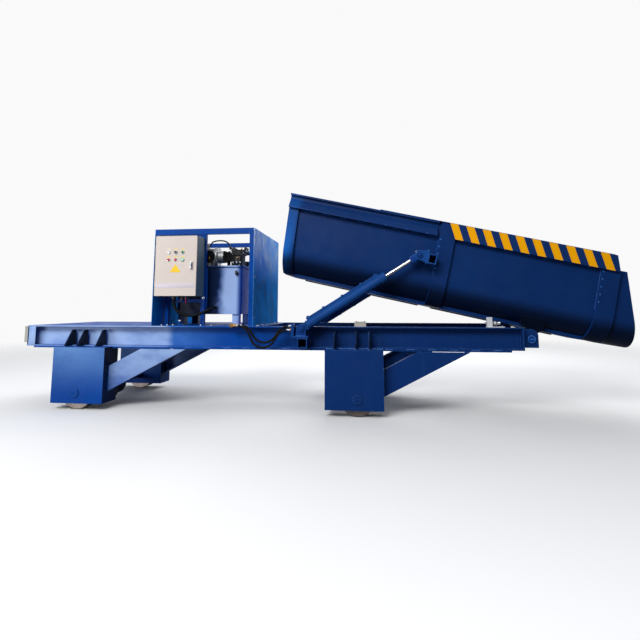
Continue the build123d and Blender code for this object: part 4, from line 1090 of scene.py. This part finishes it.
@made("chassis", "motor_grey")
def terminal_box(bm):
    """Lid, screws and gland of the motor's terminal box."""
    block(bm, at(1.640, MOTOR_Y, 1.6275), (0.106, 0.096, 0.006), 0.0015)
    for station in (1.595, 1.685):
        for y in (-0.190, -0.110):
            cap_screw(bm, at(station, y, 1.6305), UP, 0.004)
    hoop(bm, at(1.690, MOTOR_Y, 1.600), FORWARD, collar(-0.001, 0.010, 0.008, 0.014), 6)


@made("chassis", "zinc_plate")
def pack_bolts(bm):
    """Bolts of the bell's two flanges, the pump, the valve block and the tank's lid."""
    for angle in (0.6, 1.4, 2.2, 4.08, 4.88, 5.68):
        hex_bolt(bm, on_motor(1.812, 0.083, angle), FORWARD, 0.006)
    for angle in (0.785, 2.356, 3.927, 5.498):
        cap_screw(bm, on_motor(1.894, 0.050, angle), FORWARD, 0.005)
    for y in (-0.180, -0.120):
        for z in (1.452, 1.522):
            hex_bolt(bm, at(1.958, y, z), FORWARD, 0.006)
    for station in (1.985, 2.071):
        for y in (-0.224, -0.118):
            cap_screw(bm, at(station, y, BLOCK_TOP), UP, 0.005)
    for i in range(8):
        for y in (-0.271, 0.211):
            hex_bolt(bm, at(1.415 + i * 0.094, y, LID_TOP), UP, 0.0055)
    for i in range(4):
        for station in (1.389, 2.099):
            hex_bolt(bm, at(station, -0.21 + i * 0.12, LID_TOP), UP, 0.0055)


@made("chassis", "black_plastic")
def coils(bm):
    """The square coils of the two solenoid valves, each with its plug."""
    for y in VALVE_ROWS:
        for station in COIL_STATIONS:
            block(bm, at(station, y, 1.5305), (0.040, 0.050, 0.052), 0.004)
            block(bm, at(station, y, 1.566), (0.026, 0.028, 0.022), 0.003)
    block(bm, at(2.047, -0.245, 1.452), (0.056, 0.020, 0.060), 0.003)


@made("chassis", "zinc_plate")
def coil_nuts(bm):
    """Knurled end nuts and plug screws of the coils, the union nuts on the block and the pump's ports."""
    for y in VALVE_ROWS:
        nut(bm, at(2.134, y, 1.5305), FORWARD, 0.017, 0.014, (0.016, 0.014), (0.020, 0.008), segments=14)
        nut(bm, at(1.970, y, 1.5305), -FORWARD, 0.017, 0.014, (0.016, 0.014), (0.018, 0.008), segments=14)
        for station in COIL_STATIONS:
            cap_screw(bm, at(station, y, 1.577), UP, 0.0035)
    for station, z in ((1.996, 1.42), (2.034, 1.42), (2.070, 1.42)):
        nut(bm, at(station, -0.236, z), NEAR, 0.0125, 0.012, (0.014, 0.010), (0.020, 0.008))
    nut(bm, on_motor(1.925, 0.050, 0.0), UP, 0.014, 0.014, (0.016, 0.011), (0.022, 0.009))
    nut(bm, at(1.972, -0.180, 1.462), -FORWARD, 0.014, 0.010, (0.013, 0.010))


@made("chassis", "brass_fitting")
def brass_parts(bm):
    """Relief valve adjuster, bleed screws and a blank brass plate on the fan housing."""
    nut(bm, at(2.047, -0.255, 1.462), NEAR, 0.011, 0.010, (0.012, 0.007), (0.026, 0.007), (0.028, 0.004))
    nut(bm, at(2.062, -0.174, BLOCK_TOP + 0.052), UP, 0.010, 0.012, (0.014, 0.007), (0.026, 0.006))
    nut(bm, at(2.028, -0.060, 1.437), ACROSS, 0.018, 0.012, (0.015, 0.013))
    block(bm, at(1.742, -0.2635, 1.462), (0.014, 0.0016, 0.034), 0.0004)


@made("chassis", "black_metal")
def hard_lines(bm):
    """The bent steel lines: over the motor to the valves, pump to block, and block to tank."""
    tube(bm, smooth_path([at(1.700, -0.150, 1.600), at(1.716, -0.152, 1.622), at(1.740, -0.155, 1.650),
                          at(1.800, -0.158, 1.662), at(1.870, -0.160, 1.656), at(1.916, -0.162, 1.628),
                          at(1.936, -0.170, 1.590), at(1.958, -0.196, 1.568), at(1.980, -0.206, 1.566)]),
         0.0075, 14)
    tube(bm, smooth_path([on_motor(1.925, 0.071, 0.0), at(1.925, -0.151, 1.578), at(1.938, -0.160, 1.592),
                          at(1.952, -0.172, 1.570), at(1.955, -0.178, 1.510), at(1.957, -0.180, 1.468),
                          at(1.964, -0.180, 1.462)]), 0.0065, 12)
    tube(bm, smooth_path([at(2.028, -0.046, 1.437), at(2.028, -0.020, 1.434), at(2.028, -0.004, 1.418),
                          at(2.028, 0.0, 1.400), at(2.028, 0.0, 1.384)]), 0.009, 12)


@made("chassis", "gear_grey")
def gauge_dial(bm):
    """The gauge's dark face."""
    lathe(bm, at(2.116, -0.2735, 1.512), NEAR, ((0, 0.0285), (0.0008, 0.0285)), 40)


@made("chassis", "dial_white", "lamp_lens")
def gauge_marks(bm):
    """Ticks round the dial and its needle."""
    centre = at(2.116, -0.2746, 1.512)
    for i in range(11):
        around(bm, centre, 0.0235, spoke(math.radians(225 - 27 * i)), (0.005, 0.0006, 0.001), 0)
    aim = spoke(2.6)
    block(bm, centre + aim * 0.007 + NEAR * 0.0004, (0.024, 0.0006, 0.0014), 0,
          axes=(aim, NEAR, aim.cross(NEAR)))
    lathe(bm, centre, NEAR, ((0, 0.003), (0.0015, 0.003)), 16)


@made("chassis", "black_plastic")
def tank_fittings(bm):
    """Level switch, drain plug and the ribs of the filler cap."""
    nut(bm, at(2.044, -0.259, 1.298), NEAR, 0.017, 0.010, (0.012, 0.013), (0.030, 0.012))
    block(bm, at(2.044, -0.286, 1.312), (0.022, 0.020, 0.040), 0.003)
    nut(bm, at(1.760, -0.259, 0.925), NEAR, 0.014, 0.009, (0.011, 0.010))
    for i in range(18):
        angle = 2 * math.pi * i / 18
        radial = Vector((math.cos(angle), math.sin(angle), 0))
        block(bm, at(2.030, 0.110, 1.444) + radial * 0.038, (0.005, 0.005, 0.020), 0.001,
              axes=(radial, radial.cross(UP), UP), segments=1)


@made("chassis", "weld_blue", "blue_paint")
def tank_welds(bm):
    """Beads where the tank stands on its feet and where its walls meet the rim."""
    for station in (1.462, 2.026):
        for y in (-0.2055, 0.1455):
            ends = [at(station + shift, y - 0.0355, DECK_WELD) for shift in (-0.034, 0.034)]
            weld_bead(bm, *ends, 0.0035, seed=int(station * 1000))
    weld_bead(bm, at(1.450, -0.2605, 1.3705), at(2.038, -0.2605, 1.3705), 0.0028, seed=611)


# ---- Hoses' ends ----
@made("chassis", "zinc_plate")
def hose_clamps(bm):
    """Crimped ferrules on both ends of the two hoses."""
    for points in (HOSE_OUTER, HOSE_INNER):
        for end, way in ((points[0], FORWARD), (points[-1], -FORWARD)):
            for ridge in range(5):
                hoop(bm, at(*end) + way * (0.001 + ridge * 0.006), way, collar(0, 0.0052, 0.0095, 0.0122), 28)


@made("chassis", "brass_fitting")
def union_nuts(bm):
    """Hexagon swivel nuts behind the ferrules."""
    for end, way in ((HOSE_OUTER[0], -FORWARD), (HOSE_INNER[0], -FORWARD), (HOSE_OUTER[-1], FORWARD),
                     (HOSE_INNER[-1], FORWARD)):
        hoop(bm, at(*end) + way * 0.001, way, collar(0, 0.0065, 0.0105, 0.0152), 6)


# ---- Cylinders ----
CLAMPS_ALONG = (0.26, 0.46, 0.66)


def barrel_details(bm, side):
    """Beads at both ends, pipe clamps and saddle, port nuts and gland screws on one barrel."""
    hoop(bm, cylinder_point(side, 0.062), ROD_WAY, ((-0.001, 0.039), (0.003, 0.0455), (0.009, 0.0405)), 40)
    hoop(bm, cylinder_point(side, 0.850), ROD_WAY, ((-0.006, 0.0400), (0.0, 0.0462), (0.004, 0.0445)), 40)
    for along in CLAMPS_ALONG:
        hoop(bm, cylinder_point(side, along), ROD_WAY, collar(0, 0.022, 0.0395, 0.0432), 40)
        block(bm, cylinder_point(side, along + 0.011, 0, 0.055), (0.022, 0.034, 0.024), 0.002,
              axes=(ROD_WAY, ACROSS, ROD_RISE))
    block(bm, cylinder_point(side, 0.460, 0, 0.0425), (0.680, 0.012, 0.012), 0.001,
          axes=(ROD_WAY, ACROSS, ROD_RISE))
    for along in (0.102, 0.823):
        nut(bm, cylinder_point(side, along, 0, 0.060), ROD_RISE, 0.012, 0.010, (0.012, 0.009))
    for shift in range(6):
        angle = math.pi * shift / 3
        radial = ROD_RISE * math.cos(angle) + ACROSS * math.sin(angle)
        cap_screw(bm, cylinder_point(side, 0.8985) + radial * 0.034, ROD_WAY, 0.0042)


def seal_ring(bm, side):
    """The rubber wiper where the rod leaves the barrel."""
    hoop(bm, cylinder_point(side, 0.898), ROD_WAY,
         ((0, 0.0178), (0, 0.026), (0.004, 0.0252), (0.009, 0.0185)), 32)


def nipples(bm, side):
    """A grease nipple on the rod's eye."""
    lathe(bm, cylinder_point(side, 1.255, 0, 0.0415), ROD_RISE,
          ((-0.001, 0.0055), (0.004, 0.0055), (0.005, 0.0035), (0.009, 0.0035), (0.011, 0.002)), 14)


def rod_sleeve(bm, side):
    """The painted socket between the rod and its eye."""
    hoop(bm, cylinder_point(side, 1.166), ROD_WAY,
         ((0, 0.0177), (0, 0.0262), (0.003, 0.0285), (0.030, 0.0285), (0.052, 0.0330), (0.060, 0.0330),
          (0.060, 0.0177)), 36)


def clamp_screws(bm, side):
    """Two screws on each pipe clamp."""
    for along in CLAMPS_ALONG:
        for across in (-0.011, 0.011):
            cap_screw(bm, cylinder_point(side, along + 0.011, across, 0.0665), ROD_RISE, 0.0038)


for side_name, side in SIDES:
    for detail, part, material, slot, build in (
            ("barrel_details", "barrel", "cylinder_blue", "blue_paint", barrel_details),
            ("clamp_screws", "barrel", "zinc_plate", "zinc_plate", clamp_screws),
            ("seal_ring", "barrel", "black_plastic", "black_plastic", seal_ring),
            ("rod_sleeve", "rod", "cylinder_blue", "blue_paint", rod_sleeve),
            ("rod_nipples", "rod", "zinc_plate", "zinc_plate", nipples)):
        piece(f"{detail}_{side_name}", f"{side_name}_{part}", material, slot, lambda bm: build(bm, side))


def pin_keeper(bm, centre, out, row):
    """A raised centre on a pin's head, with a small hexagon on each side in a row."""
    lathe(bm, centre, out, ((-0.0005, 0.012), (0.003, 0.012), (0.004, 0.010)), 24)
    for shift in (-0.017, 0.017):
        lathe(bm, centre + row * shift, out, ((-0.0005, 0.0045), (0.003, 0.0045), (0.0035, 0.003)), 6)


@made("chassis", "frame_blue", "blue_paint")
def pin_plates(bm):
    """Raised centre and two hexagons on each base pin's head."""
    for _, side in SIDES:
        out = ACROSS * side
        centre = at(2.786, side * 0.690, 0.765)
        pin_keeper(bm, centre, out, FORWARD)


# ---- Trough ----
MID_RIB = (-0.957, -0.818)
FRONT_RIB = (0.460, 0.613)
WALL = 0.534
RAIL_LOW = 0.732


@made("trough", "weld_shaded_blue", "blue_paint")
def trough_welds(bm):
    """Beads beside the ribs, under the rails, round the nose and round the rod brackets."""
    seed = 700
    wall = WALL + 0.001
    for _, side in SIDES:
        def bead(start, end, radius, extra=0):
            ends = [trough_point(along, side * y, above) for along, y, above in (start, end)]
            weld_bead(bm, *ends, radius, seed=seed + extra)

        for along in (*MID_RIB, *FRONT_RIB):
            seed += 1
            bead((along, wall, 0.37), (along, wall, RAIL_LOW), 0.0055)
        along = -2.24
        while along < 0.40:
            seed += 1
            if not MID_RIB[0] - 0.08 < along < MID_RIB[1]:
                bead((along, wall, RAIL_LOW - 0.001), (along + 0.07, wall, RAIL_LOW - 0.001), 0.004)
            along += 0.17
        bead((0.601, 0.524, 0.36), (0.601, 0.524, 0.72), 0.0045, 1)
        bead((-1.029, 0.567, 0.451), (-1.029, 0.567, 0.577), 0.004, 2)
        for above in (0.459, 0.543):
            bead((-1.029, 0.6895, above), (-0.958, 0.6895, above), 0.0035, 3)
        for y in (0.602, 0.616, 0.664, 0.678):
            bead((-1.048, y, 0.466), (-1.048, y, 0.568), 0.003, 4)


@made("trough", "weld_blue", "blue_paint")
def rib_spots(bm):
    """Plug welds down the edges of the middle and front ribs and on the rear rails' ledge."""
    for _, side in SIDES:
        out = ACROSS * side
        for rib in (MID_RIB, FRONT_RIB):
            for i in range(5):
                seat = trough_point(rib[0] + 0.014, side * 0.5598, 0.44 + 0.068 * i)
                lathe(bm, seat, out,
                      ((-0.0005, 0.0075), (0.0015, 0.0065), (0.0026, 0.0035), (0.0028, 0.0)), 14)
        for i in range(7):
            seat = trough_point(-2.22 + 0.19 * i, side * 0.5915, 0.737)
            lathe(bm, seat, out, ((-0.0005, 0.0042), (0.0012, 0.0036), (0.0018, 0.0)), 12)


@made("trough", "weld_shaded_blue", "blue_paint")
def rod_pin_heads(bm):
    """The same on the rod pins' heads."""
    for _, side in SIDES:
        out = ACROSS * side
        centre = trough_point(-1.1115, side * 0.690, 0.517)
        pin_keeper(bm, centre, out, ALONG)


@made("trough", "weld_shaded_blue", "blue_paint")
def lug_arms(bm):
    """The long cheeks of the rod brackets, running down beside each rod."""
    for _, side in SIDES:
        pin = trough_point(-1.1115, side * 0.640, 0.517)
        for shift in (-0.031, 0.031):
            block(bm, pin - ROD_WAY * 0.046 + Vector((0, shift, 0)), (0.092, 0.0132, 0.058), 0.004,
                  axes=(ROD_WAY, ACROSS, ROD_RISE))


@made("trough", "trough_shaded_blue", "blue_paint")
def rail_caps(bm):
    """Flat bars along the top of both rails, ahead of the rear quarter."""
    start, end = -1.540, 0.545
    for _, side in SIDES:
        block(bm, trough_point((start + end) / 2, side * 0.5485, 0.8755), (end - start, 0.046, 0.0072), 0.002,
              axes=(ALONG, ACROSS, ABOVE))


# ---- Wheels ----
def wheel_details(station, side):
    def build(bm):
        """A raised rim on the web and the worn band on the tread."""
        centre = at(station, side * 0.577, 0.157)
        out = ACROSS * side
        for way in (out, -out):
            hoop(bm, centre + way * 0.0115, way, collar(0, 0.004, 0.056, 0.062), 40)
            hoop(bm, centre + way * 0.0665, way, collar(0, 0.0022, 0.128, 0.140), 64)
    return build


for wheel_name, wheel_body, station, side in (
        ("rear_near", "rear_wheelset", 0.631, -1), ("rear_far", "rear_wheelset", 0.631, 1),
        ("front_near", "front_near_wheel", 3.289, -1), ("front_far", "front_far_wheel", 3.289, 1)):
    piece(f"wheel_rim_{wheel_name}", wheel_body, "wheel_steel", "wheel_steel", wheel_details(station, side))


# ---- Materials of the CAD nodes that stay ----
NODE_MATERIALS = {
    "frame_blue": ("cross_beams", "deck_plate", "pivot_brackets", "base_clevises", "enclosure_frame",
                   "hinge_pins", "rod_pins"),
    "cylinder_blue": ("cylinder_barrel_near", "cylinder_barrel_far", "rod_brackets"),
    "under_shaded_blue": ("hinge_arms",),
    "beam_blue": ("side_beam_near", "side_beam_far"),
    "box_blue": ("wheel_box_rear_near", "wheel_box_rear_far", "wheel_box_front_near", "wheel_box_front_far",
                 "rear_axle_bearings", "front_axle_pins"),
    "brace_blue": ("diagonal_braces",),
    "gusset_shaded_blue": ("gusset_plates",),
    "panel_gloss": ("enclosure_panels",),
    "tank_gloss": ("oil_tank", "tank_lid"),
    "trough_shaded_blue": ("trough_shell", "trough_rear_wall", "trough_nose", "trough_ribs", "trough_rails"),
    "hazard_stripes": ("hazard_rails",),
    "pad_rubber": ("rubber_buffers",),
    "sensor_grey": ("proximity_sensor",),
    "pin_steel": ("rear_drive_shaft", "motor_rotor"),
    "wheel_steel": ("rear_wheel_near", "rear_wheel_far", "front_wheel_near", "front_wheel_far"),
    "gear_grey": ("drive_gearmotor",),
    "motor_grey": ("pump_motor",),
    "cast_aluminium": ("bell_housing",),
    "black_metal": ("gear_pump", "valve_block", "pressure_gauge"),
    "black_plastic": ("solenoid_valves", "filler_cap", "selector_knob"),
    "brass_fitting": ("hose_fittings",),
    "cabinet_shade": ("cabinet_body",),
    "cabinet_enamel": ("cabinet_door",),
    "handle_chrome": ("lock_handle",),
    "green_cap": ("green_button",),
    "red_cap": ("red_button_left", "red_button_right"),
    "lamp_lens": ("pilot_lamps",),
    "chrome_rod": ("piston_rod_near", "piston_rod_far"),
}
for material_name, names in NODE_MATERIALS.items():
    for node_name in names:
        paint(nodes[node_name], material_name)


# ---- Floor and light ----
def make_stage():
    """A pale round floor that fades out, so that it runs into the background."""
    bm = bmesh.new()
    bmesh.ops.create_circle(bm, cap_ends=True, radius=16.0, segments=96)
    mesh = bpy.data.meshes.new("floor")
    bm.to_mesh(mesh)
    bm.free()
    floor = bpy.data.objects.new("floor", mesh)
    bpy.context.scene.collection.objects.link(floor)
    g = Graph("floor")
    p = g.place()
    shade = g.noise(p, 0.6, 3.0)
    reach = g.vector("LENGTH", p, (0, 0, 0), 1)
    pale = g.mix(g.times(shade, 0.2), (0.9, 0.9, 0.9, 1), (0.86, 0.86, 0.87, 1))
    seen = g.tree.nodes.new("ShaderNodeLightPath").outputs["Is Camera Ray"]
    g.set(Base_Color=g.mix(seen, (0.16, 0.17, 0.19, 1), pale), Roughness=0.9, Specular_IOR_Level=0.1,
          Alpha=g.ramp(reach, 4.5, 12.0, 1.0, 0.0))
    mesh.materials.append(g.material)


def soft_light(name, place, target, size, power, colour=(1.0, 1.0, 1.0)):
    data = bpy.data.lights.new(name, "AREA")
    data.shape = "RECTANGLE"
    data.size, data.size_y = size
    data.energy = power
    data.color = colour
    lamp = bpy.data.objects.new(name, data)
    lamp.location = place
    lamp.visible_camera = False
    lamp.rotation_euler = (Vector(target) - Vector(place)).to_track_quat("-Z", "Y").to_euler()
    bpy.context.scene.collection.objects.link(lamp)


def make_world():
    """Pale to look at; as a light, bright above and dimmer towards the horizon."""
    world = bpy.data.worlds.new("studio")
    bpy.context.scene.world = world
    world.use_nodes = True
    tree = world.node_tree
    tree.nodes.clear()

    def node(kind, **values):
        """A node, with inputs given numbers or joined to other nodes' outputs."""
        made_node = tree.nodes.new("ShaderNode" + kind)
        for name, value in values.items():
            socket = made_node.inputs[name.replace("_", " ")]
            if isinstance(value, bpy.types.NodeSocket):
                tree.links.new(value, socket)
            else:
                socket.default_value = value
        return made_node

    split = node("SeparateXYZ", Vector=node("TexCoord").outputs["Generated"])
    total = node("Math")
    for socket, axis, low, high, to_low, to_high in (
            (total.inputs[0], 2, 0.1, 1.0, 0.0, 0.5), (total.inputs[1], 1, 0.0, 0.8, 0.05, 0.7)):
        ramp = node("MapRange", Value=split.outputs[axis], From_Min=low, From_Max=high, To_Min=to_low,
                    To_Max=to_high)
        tree.links.new(ramp.outputs[0], socket)
    seen = node("Background", Color=(0.95, 0.95, 0.955, 1))
    lit = node("Background", Color=(0.92, 0.95, 1.0, 1), Strength=total.outputs[0])
    mix = node("MixShader", Fac=node("LightPath").outputs["Is Camera Ray"])
    tree.links.new(lit.outputs[0], mix.inputs[1])
    tree.links.new(seen.outputs[0], mix.inputs[2])
    node("OutputWorld", Surface=mix.outputs[0])


make_stage()
make_world()
soft_light("key", (-2.5, -7.5, 6.0), (0, 0, 0.8), (5.0, 3.0), 610)
soft_light("left_panel", (-6.8, -7.0, 1.2), (-1.8, 0, 0.6), (3.6, 2.4), 200, (0.95, 0.96, 1.0))
soft_light("back", (1.0, 6.0, 5.0), (0, 0, 1.0), (6.0, 3.0), 300)
bpy.context.scene.view_settings.view_transform = "Standard"
